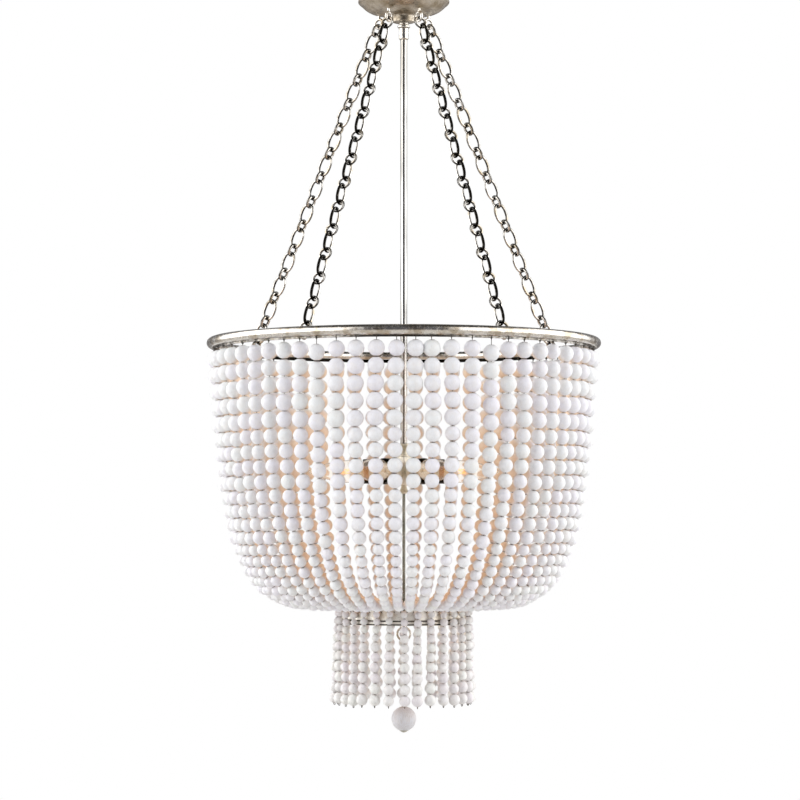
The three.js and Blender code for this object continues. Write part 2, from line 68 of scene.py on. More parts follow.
# Canopy, a spun dome with a boss. The fillet's points are out from the boss and up from the dome's foot.
CANOPY_D = 142
CANOPY_TOP_D = 134
CANOPY_WALL = 2
RIM_HEIGHT = 11
RIM_TUCK = 1.2
RIM_INSIDE_TUCK = 0.6
RIM_DROP_SHARES = (0.45, 0.93)
DOME_HEIGHT = 19
DOME_RADIUS_SHARES = (0.9, 0.775, 0.61, 0.36, 0.12)
DOME_DROP_SHARES = (0.23, 0.54, 0.77, 0.895, 0.97)
BOSS_D = 35
BOSS_HEIGHT = 11
BOSS_FILLET = ((1.2, -0.6), (0, -2.2))
BOSS_EDGE = 1.4
BOSS_EDGE_SHARE = 0.3
BOSS_FLOOR = 12
BOSS_WASH = 0.22
BOSS_WASH_BLEND = 2

# Stem, with its nut and sleeve, and the nipple above
PIPE_D = 10.6
THREAD_PITCH = 1.4
THREAD_DEPTH = 0.7
NUT_NECK_D = 15
NUT_DISC_HEIGHT = 4.3
NUT_EDGE = 1.2
NUT_SHOULDER = 1.4
NUT_FILLET = 0.4
SLEEVE_EDGE = 1.6
STEM_WASH = 0.33
# The stem's painted dark reflection lines: how many round it, how dark, and how sharp
STEM_PAINTED_LINES = 6
PAINTED_LINE_SHADE = 0.24
PAINTED_LINE_SHARPNESS = 1.7

# Chain, and the dark on its links: a thin wash everywhere, and painted shade and dark reflections on the
# wire's faces, on the outer limbs, and where links bear
WIRE_D = 4.4
WIRE_SIDES = 12
LINK_BITE = 0.4
OVAL_LENGTH = 36.2
OVAL_WIDTH = 23
OVAL_POWER = 2.3
ROUND_D = 22.6
CHAIN_AZIMUTHS = (-58.7, 31.3, 148.7, 238.7)
WASH_EVERYWHERE = 0.05
PAINTED_SHADE_BY_FACE = 0.62
FACE_POWER = 2.5
PAINTED_SHADE_BY_LIMB = (0.8, 0.3)
PAINTED_SHADE_BY_BEARING = 0.5
BEARING_SHARES = (0.78, 0.96)

# Canopy eyes
EYE_RING_D = 14
CANOPY_EYE_RADIUS = 45.2
CANOPY_EYE_DROP = 38.8
EYE_HEAD_D = 9
EYE_HEAD_HEIGHT = 3
EYE_HEAD_EDGE = (1.2, 0.8)
SHANK_SINK = 0.5

# Top hoop
HOOP_D = 609.6
HOOP_TUBE_D = 15
HOOP_DROP = 543.5
FLANGE_THICKNESS = 2.4
FLANGE_HEIGHT = 2.8
FLANGE_SINK = 2.4
# Painted shade under the hoop, on its flange: near black on the inner side and half as dark on the outer,
# between these insets from its faces
FLANGE_PAINTED_SHADE = (0.95, 0.5)
FLANGE_SHADE_INSETS = (0.6, 0.3)
HOOP_EYE_BITE = 1
HOOP_EYE_WASH = 0.35

# Basket strands. The tail's points are radii and heights, and the hook's are out and up from the strand's top.
# The slips, in degrees, are those of the front half from the middle outwards, and then the back half's.
STRANDS = 60
SECTORS = 10
BEAD_SIZES = (25.2,) * 5 + (22.5,) * 4 + (20.5,) * 4 + (17.7,) * 5 + (15.2,) * 4 + (13.4,) * 4
BEAD_FIT = 0.985
BEAD_SIZE_SPREAD = 0.018
STRAND_END_RADIUS = 112
STRAND_END_DROP = 943
STRAND_POINTS = 400
UPPER_HANDLE = (0.9344, 0.5205)
LOWER_HANDLE = (0.9796, 1.09)
TAIL = ((108.5, -944.5), (104.5, -949), (101.5, -954))
TAIL_POINTS = 40
TAIL_OVERLAP = 12
TAIL_WIRE_IN = 1
TAIL_WIRE_DROP = 4
STRAND_WIRE_D = 1.1
THREAD_STEP = 12
HOOK_SHOWN = 3.1
HOOK_SHAPE = (
    (0, -2.4), (1.4, -0.6), (2.5, 1.6), (1.8, 3.8), (0, 4.6),
    (-1.8, 3.8), (-2.5, 1.6), (-1.4, -0.6), (-0.2, -1.8),
)
HUNG_SLIPS = (
    -0.25, -1.2, -1.3, -1.45, -1.4, -1.7, -2.05, -2.1, -2.3, -2.0, -1.5, -1.0, -0.6, -0.3, 0,
    0, -0.1, -0.3, -0.5, -0.7, -0.8, -0.9, -1.0, -1.0, -1.1, -1.1, -1.0, -1.0, -0.4, -0.8,
)
LOW_SLIPS = (
    -0.2, -0.5, -0.5, -0.6, -0.6, -0.7, -0.8, -0.9, -0.9, -0.9, -0.8, -0.5, -0.3, -0.1, 0,
    0, -0.1, -0.3, -0.5, -0.7, -0.8, -0.9, -1.0, -1.1, -1.2, -1.3, -1.4, -1.5, -1.5, -1.5,
)
FRONT_PAIR_SLIP = 0.6
SLIP_FADE = 110
STRAND_SWAY = 0.10
STRAND_SLIP = 0.5
LOW_PAIR = 4
LOW_PAIR_DROP = 5.5
END_STAGGER = 5
SLIP_END_SHARE = 0.35
FRONT_DRIFT_SHARE = 0.5
BEAD_SLIP = 0.12
LOW_BEAD_SLIP = 0.5

# Lamp hub and its caps. The caps' points are radii and heights above the cap's foot.
LAMPS = 6
LAMP_DROP = 741
HUB_ACROSS_FLATS = 34
HUB_HEIGHT = 44
HUB_CORNER_SHARE = 1.13
HUB_CHAMFER = ((0.9, 0), (0.97, 0.3), (1, 1.4))
TOP_CAP_FOOT = ((9.6, 0), (10, 0.6))
TOP_CAP_BELL = ((9.9, 2.4), (7.9, 4.6), (7.1, 8.61), (8.6, 12.9), (12.6, 16.3), (15, 18.1))
TOP_CAP_LIP = ((15, 20), (14.5, 20.5))
BOTTOM_CAP_NECK_R = 3.7
BOTTOM_CAP_BELL = ((4, 11.6), (4.6, 9), (6.4, 5), (8.25, 2.6))
BOTTOM_CAP_FOOT = ((8.25, 0.5), (7.8, 0))

# Sockets. The flare's and shoulder's points are out from the neck and from the shell, and along from the
# shell's foot.
SOCKET_D = 38
SOCKET_NECK_D = 14
SOCKET_NECK_LENGTH = 17
SOCKET_LENGTH = 29
SOCKET_BORE_D = 26.6
SOCKET_MOUTH_D = 34
SOCKET_MOUTH_DEPTH = 7
SOCKET_FLOOR = 3
SOCKET_EDGE = 1
SOCKET_FLARE = ((0, -4), (1.6, -2.6))
SOCKET_SHOULDER = ((-3, 0), (-0.6, 2.4), (0, 5), (0, 12), (-0.9, 12.6), (-0.9, 13.4), (0, 14))
# Painted dark reflections along the socket's top and bottom and none round its middle, by height across the
# socket from -1 below to 1 above
SOCKET_PAINTED_SHADE = ((-1, -0.8, -0.62, 0.42, 0.58, 1), (0.95, 0.95, 0, 0, 0.95, 0.95))
COLLAR_LENGTH = 9
LINER_DEPTH = 12
BORE_MARGIN = 0.3
FLOOR_MARGIN = 0.1
COLLAR_MARGIN = 0.5

# Bulbs. The contact's and post's points are radii and heights above the bulb's foot, and the glass's are
# radii and shares of the bulb's length.
BULB_D = 35
BULB_LENGTH = 110
CONTACT = ((4.4, 0), (5, 0.8), (8, 1.2))
SHELL_FOOT = (1, 3)
SHELL_TOP = (1.4, 22)
SHELL_THREADS = 5
SHELL_THREAD_DEPTH = 0.9
SHELL_THREAD_FROM = 3.2
SHELL_THREAD_RUN = 17.5
GLASS_WALL = 0.5
GLASS_FOOT = (1, 21)
GLASS_PROFILE = (
    (12.95, 0.2), (16.4, 0.31), (17.5, 0.42), (16.3, 0.6),
    (12.9, 0.72), (8.6, 0.84), (4.2, 0.94), (1.5, 0.99),
)
POST = ((0, 21), (1.9, 21), (1.6, 44), (0, 45))
FILAMENT_D = 0.7
FILAMENT_R = 3.5
FILAMENT_LOOPS = 5
FILAMENT_SHARES = (0.42, 0.53)

# Lower rod and hoop. The groove's points are out from the band and up from its middle.
ROD_D = 4.8
LOWER_HOOP_D = 192
LOWER_HOOP_WALL = 3
LOWER_HOOP_TOP = 953
LOWER_HOOP_HEIGHT = 23
BAND_GROOVES = (-969, -974.4)
GROOVE = ((0, 1), (-1.2, 0.5), (-1.2, -0.5), (0, -1))
GROOVE_WASH = 0.7
GROOVE_WASH_INSETS = (2, 0.5)
SPOKE_HEIGHT = 6
SPOKE_WIDTH = 5
SPOKE_ROUND_POWER = 0.35
SPOKE_SINKS = (2, 0.6)
SPOKE_HUB_D = 30
SPOKE_HUB_TOP = ((7, 0), (12, -0.8), (15, -2.6))

# Tassels
TASSEL_PAIRS = 15
TASSEL_RADIUS = 102
TASSEL_BEADS = 10
TASSEL_FIRST_D = 11
TASSEL_LAST_D = 18
TASSEL_TOP = 953.2
TASSEL_RUN = 143
TASSEL_DROP_SPREAD = 1.5
TASSEL_LEAN = 1.8
TASSEL_SWAY = 0.45
TASSEL_SIZE_SPREAD = 0.05
TASSEL_WIRE_RISE = 3
TASSEL_WIRE_LIFTS = (0.2, 1.3)
KNOT_SIZE = (1.5, 1.2)
KNOT_DROP = 1

# Loop nut and finial
LOOP_D = 20
LOOP_WIRE_D = 3.4
LOOP_NECK_D = 9
LOOP_NECK_HEIGHT = 5
LOOP_NECK_EDGE = 1.2
PIN_EYE_D = 7.4
PIN_EYE_SINK = 0.6
PIN_WIRE_D = 2.2
PIN_REACH = 1
FINIAL_D = 38
FINIAL_HANG = 120.2
FINIAL_TINT = 0.8
FINIAL_HOLE_ANGLE = 5
FINIAL_DIMPLE_SHARE = 0.985
BUTTON_D = 14
BUTTON_HEIGHT = 1.9
BUTTON_SHARES = (0.4, 0.7)
BUTTON_RISE = 1.7
BUTTON_EDGE = 0.5
BUTTON_WASH = 0.3

# Studio, in metres, degrees and watts. The lens, the sensor and the glow's radius are millimetres. The spans
# are of how far a way points to the camera, or up: the walls' light starts at the first number of each and is
# full at the second.
FLOOR_DROP = 0.9
FLOOR_RADIUS = 4.0
FLOOR_THICKNESS = 0.02
FLOOR_CHAMFER = (0.02, 0.004)
SURROUND_RADIUS = 40
WALL_LIGHT = (2.5, 2.5, 2.5, 1)
BACK_LIGHT = (0.2, 0.2, 0.21, 1)
FRONT_LIGHT = (0.10, 0.10, 0.115, 1)
FLOOR_LIGHT = (0.54, 0.51, 0.48, 1)
CEILING_LIGHT = (0.07, 0.07, 0.07, 1)
BESIDE = (0.87, 0.81)
BEHIND = (-0.78, -0.63)
ABOVE_FLOOR = (-0.30, -0.14)
BELOW_CEILING = (0.86, 0.62)
BACK_TO_FRONT = (-0.2, 0.2)
LAMP_GLOW = 0.16
LAMP_GLOW_SIZE = 0.02
GLOW_RADIUS = 75
CAMERA_LENS = 120.2
CAMERA_SENSOR = 36
CAMERA_REACH = 200
CAMERA_PLACE = (-0.0059, -4.13, -0.8407)
CAMERA_PITCH = 2.915

# Places worked out from the sizes
HOOP_R = (HOOP_D - HOOP_TUBE_D) / 2
FLANGE_R = HOOP_R - HOOP_TUBE_D / 2 * math.tan(math.pi / 8)
DOME_BOTTOM = -(RIM_HEIGHT + DOME_HEIGHT)
BOSS_BOTTOM = DOME_BOTTOM - BOSS_HEIGHT
SPOKE_BOTTOM = -LOWER_HOOP_TOP - LOWER_HOOP_HEIGHT
LOOP_TOP = SPOKE_BOTTOM - GAP
LOOP_CENTRE = LOOP_TOP - LOOP_NECK_HEIGHT - LOOP_D / 2
PIN_PIVOT = LOOP_CENTRE - LOOP_D / 2
FINIAL_CENTRE = PIN_PIVOT - FINIAL_HANG


# Shapes. A skin is (points, faces): faces hold four point numbers, or three and -1.


def skin(rings, joined=False, poles=None):
    """Faces over a grid of points, one ring to a row. joined closes the last row on the first. Otherwise
    a fan closes each end, to its pole or to the middle of its ring. Faces that come out inside out are
    turned round."""
    rows, columns = rings.shape[:2]
    index = np.arange(rows * columns).reshape(rows, columns)
    points = rings.reshape(-1, 3)
    loops = np.vstack([index, index[:1]]) if joined else index
    near, far = loops[:-1], loops[1:]
    faces = np.stack([near, np.roll(near, -1, 1), np.roll(far, -1, 1), far], -1).reshape(-1, 4)
    if not joined:
        middles = (rings[0].mean(0), rings[-1].mean(0)) if poles is None else poles
        points = np.vstack([points, middles])
        none = np.full(columns, -1)
        start, end = index[0], index[-1]
        faces = np.vstack([
            faces,
            np.stack([np.roll(start, -1), start, none + rows * columns + 1, none], -1),
            np.stack([end, np.roll(end, -1), none + rows * columns + 2, none], -1),
        ])
    return outward(points, faces)


def outward(points, faces):
    """The signed volume is a sixth of the sum of a . (b x c) over the triangles. Where it is negative,
    the first three corners of each face and all four of a quad are read backwards."""
    a, b, c = (points[faces[:, i]] for i in range(3))
    volume = np.einsum("ij,ij->", a, np.cross(b, c))
    quads = faces[:, 3] >= 0
    a, c, d = (points[faces[quads, i]] for i in (0, 2, 3))
    volume += np.einsum("ij,ij->", a, np.cross(c, d))
    if volume < 0:
        flipped = faces.copy()
        flipped[quads] = faces[quads][:, ::-1]
        flipped[~quads, :3] = faces[~quads][:, [2, 1, 0]]
        faces = flipped
    return points, faces


def merged(skins):
    """Several skins as one, each keeping its own points."""
    starts = np.cumsum([0] + [len(points) for points, _ in skins[:-1]])
    faces = [np.where(f >= 0, f + start, -1) for (_, f), start in zip(skins, starts)]
    return np.vstack([points for points, _ in skins]), np.vstack(faces)


def copies(shape, places, frames, sizes):
    """One skin at many places: each copy is place + size * frame @ point, for all the points at once."""
    points, faces = shape
    moved = np.einsum("nij,pj->npi", frames * sizes[:, None, None], points) + places[:, None, :]
    steps = np.arange(len(places))[:, None, None] * len(points)
    repeated = np.where(faces[None] >= 0, faces[None] + steps, -1)
    return moved.reshape(-1, 3), repeated.reshape(-1, 4)


def placed(shape, turn=None, move=(0, 0, 0)):
    """A skin turned by a 3 x 3 matrix and then moved."""
    points, faces = shape
    if turn is not None:
        points = points @ np.asarray(turn).T
    return points + np.asarray(move), faces


def turn_z(degrees):
    """The 3 x 3 matrix of a turn about Z."""
    c, s = math.cos(math.radians(degrees)), math.sin(math.radians(degrees))
    return np.array([[c, -s, 0], [s, c, 0], [0, 0, 1]])


# Lays what is made along Z along X
Z_TO_X = np.array([[0, 0, 1], [0, 1, 0], [-1, 0, 0]])


def softened(profile, reach, steps=3):
    """A profile with its inner corners rounded: each corner is cut back by reach along both sides, at
    most a third of the side, and the two cuts are joined by a quadratic curve through the corner's
    pull."""
    profile = np.asarray(profile, float)
    corner, before, after = profile[1:-1], profile[:-2], profile[2:]
    to_before, to_after = before - corner, after - corner
    back = np.linalg.norm(to_before, axis=1, keepdims=True)
    ahead = np.linalg.norm(to_after, axis=1, keepdims=True)
    start = corner + to_before / back * np.minimum(reach, back / 3)
    end = corner + to_after / ahead * np.minimum(reach, ahead / 3)
    t = np.linspace(0, 1, steps + 1)[None, :, None]
    curve = (1 - t) ** 2 * start[:, None] + 2 * t * (1 - t) * corner[:, None] + t**2 * end[:, None]
    return np.vstack([profile[:1], curve.reshape(-1, 2), profile[-1:]])


def turned(profile, sides=64, edge=0.4, steps=3):
    """A profile of (radius, height) in millimetres spun about Z: x = r cos a, y = r sin a, z = h. Its
    first and last points are on the axis, or are closed by flat ends."""
    profile = softened(profile, edge, steps) if edge else np.asarray(profile, float)
    poles = None
    if profile[0, 0] == 0 and profile[-1, 0] == 0:
        poles = np.array([[0, 0, profile[0, 1]], [0, 0, profile[-1, 1]]]) * MM
        profile = profile[1:-1]
    return skin(spun_rings(profile, sides), poles=poles)


def spun_rings(profile, sides):
    """Rings of the surface x = r cos a, y = r sin a, z = h, one for each point (r, h) of the profile."""
    angle = np.linspace(0, 2 * np.pi, sides, endpoint=False)
    radius, height = np.asarray(profile, float).T[:, :, None] * MM
    return np.stack(np.broadcast_arrays(radius * np.cos(angle), radius * np.sin(angle), height), -1)


def turned_ring(profile, sides=96, edge=0.4):
    """A closed profile of (radius, height) spun about Z, so that it makes a ring with a hole."""
    profile = np.asarray(profile, float)
    if edge:
        wrapped = np.vstack([profile[-1:], profile, profile[:1]])
        profile = softened(wrapped, edge)[1:-1]
    return skin(spun_rings(profile, sides), joined=True)


def tube(path, normal, diameter, sides=12, joined=False):
    """Wire carried along a path that lies in or near a plane: ring = path + r (cos a N + sin a N x T),
    where N is the plane's normal and T the path's direction."""
    path = np.asarray(path, float)
    if joined:
        way = np.roll(path, -1, 0) - np.roll(path, 1, 0)
    else:
        way = np.gradient(path, axis=0)
    way /= np.linalg.norm(way, axis=1, keepdims=True)
    normal = np.broadcast_to(np.asarray(normal, float), path.shape)
    side = np.cross(normal, way)
    side /= np.linalg.norm(side, axis=1, keepdims=True)
    up = np.cross(way, side)
    angle = np.linspace(0, 2 * np.pi, sides, endpoint=False)[None, :, None]
    circle = np.cos(angle) * up[:, None] + np.sin(angle) * side[:, None]
    return skin(path[:, None] + diameter / 2 * MM * circle, joined=joined)


def loop_path(half_length, half_width, along, across, centre, power=2.0, steps=28):
    """A superellipse |x/a|^n + |y/b|^n = 1 in the plane of along and across, as points in metres."""
    t = np.linspace(0, 2 * np.pi, steps, endpoint=False)
    c, s = np.cos(t), np.sin(t)
    x = half_length * np.sign(c) * np.abs(c) ** (2 / power)
    y = half_width * np.sign(s) * np.abs(s) ** (2 / power)
    return np.asarray(centre) + (x[:, None] * np.asarray(along) + y[:, None] * np.asarray(across)) * MM


def polar(radius, degrees, height):
    """A point in metres at a radius, an azimuth and a height."""
    angle = math.radians(degrees)
    return np.array([radius * math.cos(angle), radius * math.sin(angle), height]) * MM


def resampled(path, steps):
    """A path of few points as a smooth one: a Catmull-Rom curve through them."""
    path = np.asarray(path, float)
    padded = np.vstack([2 * path[0] - path[1], path, 2 * path[-1] - path[-2]])
    spans = len(path) - 1
    u = np.linspace(0, spans, steps)
    i = np.minimum(u.astype(int), spans - 1)
    t = (u - i)[:, None]
    a, b, c, d = (padded[i + k] for k in range(4))
    return 0.5 * (2 * b + (c - a) * t + (2 * a - 5 * b + 4 * c - d) * t**2 + (3 * b - a - 3 * c + d) * t**3)


# One bead: a ball with a drilled and softened hole at each pole, of few faces because there are 2000 of them.
# Beads share one pattern, from places that are a whole number of steps apart.
BEAD_SIDES = 12
BEAD_ANGLES = np.radians([16, 40, 65, 90, 115, 140, 164])
BEAD_DIMPLE = 0.86
FACET_GROWTH = 1.015
OWN_STEP = 3.7
OWN_STEPS = 60


def bead_shape():
    """x = sin t cos a, y = sin t sin a, z = cos t on seven rings, with each pole drawn in to its dimple.
    The whole is a little larger than the true ball, so that its flat faces keep the ball's size on
    average."""
    angle = np.linspace(0, 2 * np.pi, BEAD_SIDES, endpoint=False)
    out, up = np.sin(BEAD_ANGLES)[:, None], np.cos(BEAD_ANGLES)[:, None]
    rings = np.stack(np.broadcast_arrays(out * np.cos(angle), out * np.sin(angle), up), -1)
    return skin(rings * FACET_GROWTH, poles=np.array([[0, 0, BEAD_DIMPLE], [0, 0, -BEAD_DIMPLE]]))


BEAD = bead_shape()


def mesh_from(name, skins, own=None):
    """A mesh from skins, each (shape, material number, or one for each face). own is a vector for each
    point, for patterns that follow the piece and not the room."""
    shape = merged([s for s, _ in skins])
    slots = np.concatenate([np.full(len(s[1]), number) for s, number in skins])
    points, faces = shape
    mesh = bpy.data.meshes.new(name)
    mesh.vertices.add(len(points))
    mesh.vertices.foreach_set("co", points.astype(np.float32).ravel())
    corners = faces[faces >= 0]
    totals = np.where(faces[:, 3] >= 0, 4, 3)
    mesh.loops.add(len(corners))
    mesh.loops.foreach_set("vertex_index", corners.astype(np.int32))
    mesh.polygons.add(len(faces))
    mesh.polygons.foreach_set("loop_start", np.concatenate([[0], np.cumsum(totals)[:-1]]).astype(np.int32))
    mesh.polygons.foreach_set("loop_total", totals.astype(np.int32))
    mesh.polygons.foreach_set("material_index", slots.astype(np.int32))
    mesh.polygons.foreach_set("use_smooth", np.ones(len(faces), bool))
    if own is not None:
        layer = mesh.attributes.new("own_place", "FLOAT_VECTOR", "POINT")
        layer.data.foreach_set("vector", own.astype(np.float32).ravel())
    mesh.update(calc_edges=True)
    mesh.validate()
    return mesh


SHARP_ANGLE = math.radians(38)


def piece(name, skins, materials, body, replaced=(), own=None, sharp=True, values=None):
    """One finished piece: its mesh, its materials in order, the body that it rides on and the CAD nodes that
    it stands for. values holds a number for each point under each name."""
    mesh = mesh_from(name, skins, own)
    for key, numbers in (values or {}).items():
        layer = mesh.attributes.new(key, "FLOAT", "POINT")
        layer.data.foreach_set("value", np.asarray(numbers, np.float32))
    if sharp:
        mesh.set_sharp_from_angle(angle=SHARP_ANGLE)
    for material in materials:
        mesh.materials.append(material)
    made = bpy.data.objects.new(name, mesh)
    bpy.context.scene.collection.objects.link(made)
    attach(made, body)
    if replaced:
        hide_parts(*replaced)
    return made


# Materials


def linear(code):
    """An sRGB hex value as linear red, green, blue and 1."""
    parts = np.array([int(code[i : i + 2], 16) for i in (1, 3, 5)]) / 255
    values = np.where(parts <= 0.04045, parts / 12.92, ((parts + 0.055) / 1.055) ** 2.4)
    return (*values, 1.0)


def add(tree, kind, inputs=None, output=0, **settings):
    """A node with its settings, given back as one of its outputs. Each input is a value or another's
    output."""
    made = tree.nodes.new("ShaderNode" + kind)
    for key, value in settings.items():
        setattr(made, key, value)
    for key, value in (inputs or {}).items():
        if isinstance(value, bpy.types.NodeSocket):
            tree.links.new(value, made.inputs[key])
        else:
            made.inputs[key].default_value = value
    return made.outputs[output] if made.outputs else None


def new_tree(data):
    """The empty node tree of a material or a world."""
    data.use_nodes = True
    data.node_tree.nodes.clear()
    return data.node_tree


def surface(tree, inputs):
    """The shader that ends a material's tree."""
    add(tree, "OutputMaterial", {"Surface": add(tree, "BsdfPrincipled", inputs)})


def coat(tree, under, over, pattern, low=0.0, high=1.0, most=1.0):
    """One colour laid over another: none of it where the pattern is at low, and the share most of it at
    high. A range's inputs 1 to 4 are its ends before and after, and a mix's 6 and 7 are its two colours."""
    share = add(tree, "MapRange", {"Value": pattern, 1: low, 2: high, 3: 0.0, 4: most}, clamp=True)
    return add(tree, "Mix", {0: share, 6: under, 7: over}, 2, data_type="RGBA", clamp_factor=True)


# The leaf's patterns: size in millimetres, then the noise's detail and roughness
LEAF_PATCH = (22, 4.0, 0.6)
LEAF_WRINKLE = (5, 3.0, 0.55)
TONING_SPECK = (2.2, 5.0, 0.7)
BRUSH_MARK = (0.8, 2.0, 0.55)
# A near black, laid on as a thick wash and as painted shade and painted dark reflections
TONING_AND_SHADE_DARK = "#15130F"


def leaf_over_clay(name, silver, clay, shade, rough, worn, length_share=1.0):
    """Silver leaf laid over warm clay on turned or drawn steel, burnished and then toned with a brown
    wash: soft patches where the clay warms the silver, dark specks where the wash stayed, and a rougher
    skin in the wash. Where a piece carries a per-point darkening value, a near black is laid on: on some
    pieces a thick wash, on others painted shade and painted dark reflections. A length_share under 1
    draws the patches out along the piece's length, as on a rubbed pipe."""
    material = bpy.data.materials.new(name)
    tree = new_tree(material)
    object_place = add(tree, "TexCoord", output="Object")
    place = add(tree, "Mapping", {"Vector": object_place, "Scale": (1, 1, length_share)})
    patch, wrinkle, speck, marks = (
        add(tree, "TexNoise", {"Vector": place, "Scale": 1 / size / MM, "Detail": fine, "Roughness": rugged})
        for size, fine, rugged in (LEAF_PATCH, LEAF_WRINKLE, TONING_SPECK, BRUSH_MARK)
    )
    base = coat(tree, linear(silver), linear(clay), patch, 0.5 - worn, 0.62)
    toned = coat(tree, base, linear(shade), speck, 0.56, 0.72, 0.75)
    toning_and_painted_shade = add(tree, "Attribute", output="Fac", attribute_name="toning_and_painted_shade")
    ragged = add(tree, "MapRange", {"Value": wrinkle, 1: 0.35, 2: 0.65, 3: -0.12, 4: 0.12}, clamp=True)
    uneven = add(tree, "Math", {0: toning_and_painted_shade, 1: ragged}, operation="ADD")
    washed_and_shaded = coat(tree, toned, linear(TONING_AND_SHADE_DARK), uneven, 0.12, 0.68)
    height = add(tree, "Math", {0: wrinkle, 1: marks}, operation="ADD")
    span = {"Value": wrinkle, 1: 0.3, 2: 0.7, 3: rough - 0.08, 4: rough + 0.12}
    surface(tree, {
        "Base Color": washed_and_shaded,
        "Metallic": 1.0,
        "Roughness": add(tree, "MapRange", span, clamp=True),
        "Normal": add(tree, "Bump", {"Height": height, "Strength": 0.12, "Distance": 0.0003}),
    })
    return material


def lacquered_wood(name, first, second, grain_share):
    """Turned wood sprayed with white satin lacquer: nearly white, each bead between two tints, with the grain
    as faint raised lines. Round the drilled holes it is darker, partly thinner spray and partly painted shade
    for the crevices where beads touch. On the face towards the lamps a tan is painted as the lamps' warm
    light. Its place is the bead's own, 2 across."""
    material = bpy.data.materials.new(name)
    tree = new_tree(material)
    place = add(tree, "Attribute", output="Vector", attribute_name="own_place")
    stretched = add(tree, "Mapping", {"Vector": place, "Scale": (9.0, 9.0, 1.2)})
    along = add(tree, "SeparateXYZ", {"Vector": place}, "Z")
    tint = add(tree, "Attribute", output="Fac", attribute_name="bead_tint")
    # How far each point faces the lamps, where a tan is painted as the lamps' warm light
    inner = add(tree, "Attribute", output="Fac", attribute_name="painted_lamplight")
    cloud = add(tree, "TexNoise", {"Vector": place, "Scale": 1 / 0.9, "Detail": 3.0, "Roughness": 0.55})
    grain = add(tree, "TexNoise", {"Vector": stretched, "Scale": 1.6, "Detail": 3.0, "Roughness": 0.6})
    # Darker round the holes: partly thinner spray, partly painted shade for the crevices where beads touch
    pole = add(tree, "Math", {0: along}, operation="ABSOLUTE")
    base = coat(tree, linear(first), linear(second), tint)
    clouded = coat(tree, base, linear("#F1ECE6"), cloud, 0.42, 0.7, 0.35)
    grained = coat(tree, clouded, linear("#C2B9B5"), grain, 0.45, 0.7, grain_share)
    hole_stain_and_crevice_shade = coat(tree, grained, linear("#8A7666"), pole, 0.9, 0.98, 0.8)
    surface(tree, {
        "Base Color": coat(tree, hole_stain_and_crevice_shade, linear("#E6D3BA"), inner, 0.12, 0.75, 0.85),
        "Roughness": add(tree, "MapRange", {"Value": grain, 1: 0.3, 2: 0.7, 3: 0.42, 4: 0.58}, clamp=True),
        "Normal": add(tree, "Bump", {"Height": grain, "Strength": 0.10, "Distance": 0.0004}),
    })
    return material


def plain_metal(name, light, dark, pattern, size, span, roughness, **settings):
    """A metal between two colours that follow one pattern of a size in millimetres. The roughness follows
    it too."""
    material = bpy.data.materials.new(name)
    tree = new_tree(material)
    place = add(tree, "TexCoord", output="Object")
    marks = add(tree, pattern, {"Vector": place, "Scale": 1 / (size * MM), **settings})
    rough = {"Value": marks, 1: span[0], 2: span[1], 3: roughness[0], 4: roughness[1]}
    surface(tree, {
        "Base Color": coat(tree, linear(light), linear(dark), marks),
        "Metallic": 1.0,
        "Roughness": add(tree, "MapRange", rough, clamp=True),
    })
    return material


def moulded_phenolic():
    """Phenolic lamp socket, moulded: near black with fine flow marks, satin."""
    material = bpy.data.materials.new("moulded_black_phenolic")
    tree = new_tree(material)
    place = add(tree, "TexCoord", output="Object")
    flow = add(tree, "TexNoise", {"Vector": place, "Scale": 1 / (3.5 * MM), "Detail": 3.0, "Roughness": 0.55})
    surface(tree, {
        "Base Color": coat(tree, linear("#16130F"), linear("#2B2620"), flow),
        "Roughness": add(tree, "MapRange", {"Value": flow, 1: 0.3, 2: 0.7, 3: 0.38, 4: 0.55}, clamp=True),
        "Normal": add(tree, "Bump", {"Height": flow, "Strength": 0.08, "Distance": 0.0002}),
    })
    return material


def lit_glass():
    """Clear blown glass of a lit bulb: faintly amber, deeper where the filament's light catches it."""
    material = bpy.data.materials.new("clear_blown_glass_bulb_lit")
    tree = new_tree(material)
    place = add(tree, "Attribute", output="Vector", attribute_name="own_place")
    along = add(tree, "SeparateXYZ", {"Vector": place}, "Z")
    cloud = add(tree, "TexNoise", {"Vector": place, "Scale": 1 / 0.35, "Detail": 3.0, "Roughness": 0.55})
    near_base = coat(tree, linear("#FBF3E2"), linear("#FFFEFC"), along, 0.2, 0.45)
    whole = coat(tree, near_base, linear("#FEF8EA"), along, 0.72, 0.98)
    surface(tree, {
        "Base Color": coat(tree, whole, linear("#FEFBF4"), cloud, 0.35, 0.7, 0.4),
        "Roughness": add(tree, "MapRange", {"Value": cloud, 1: 0.3, 2: 0.7, 3: 0.02, 4: 0.06}, clamp=True),
        "Transmission Weight": 1.0,
        "IOR": 1.45,
        "Emission Color": linear("#FFB75A"),
        "Emission Strength": 0.01,
    })
    return material


def hot_tungsten():
    """Drawn tungsten filament at lamp heat, a little cooler where it bends."""
    material = bpy.data.materials.new("drawn_tungsten_filament_hot")
    tree = new_tree(material)
    place = add(tree, "TexCoord", output="Object")
    cool = add(tree, "TexNoise", {"Vector": place, "Scale": 1 / (6 * MM), "Detail": 2.0, "Roughness": 0.55})
    glow = coat(tree, linear("#FFCB78"), linear("#FFBC60"), cool, 0.35, 0.65)
    surface(tree, {"Base Color": glow, "Emission Color": glow, "Emission Strength": 0.9, "Roughness": 0.5})
    return material


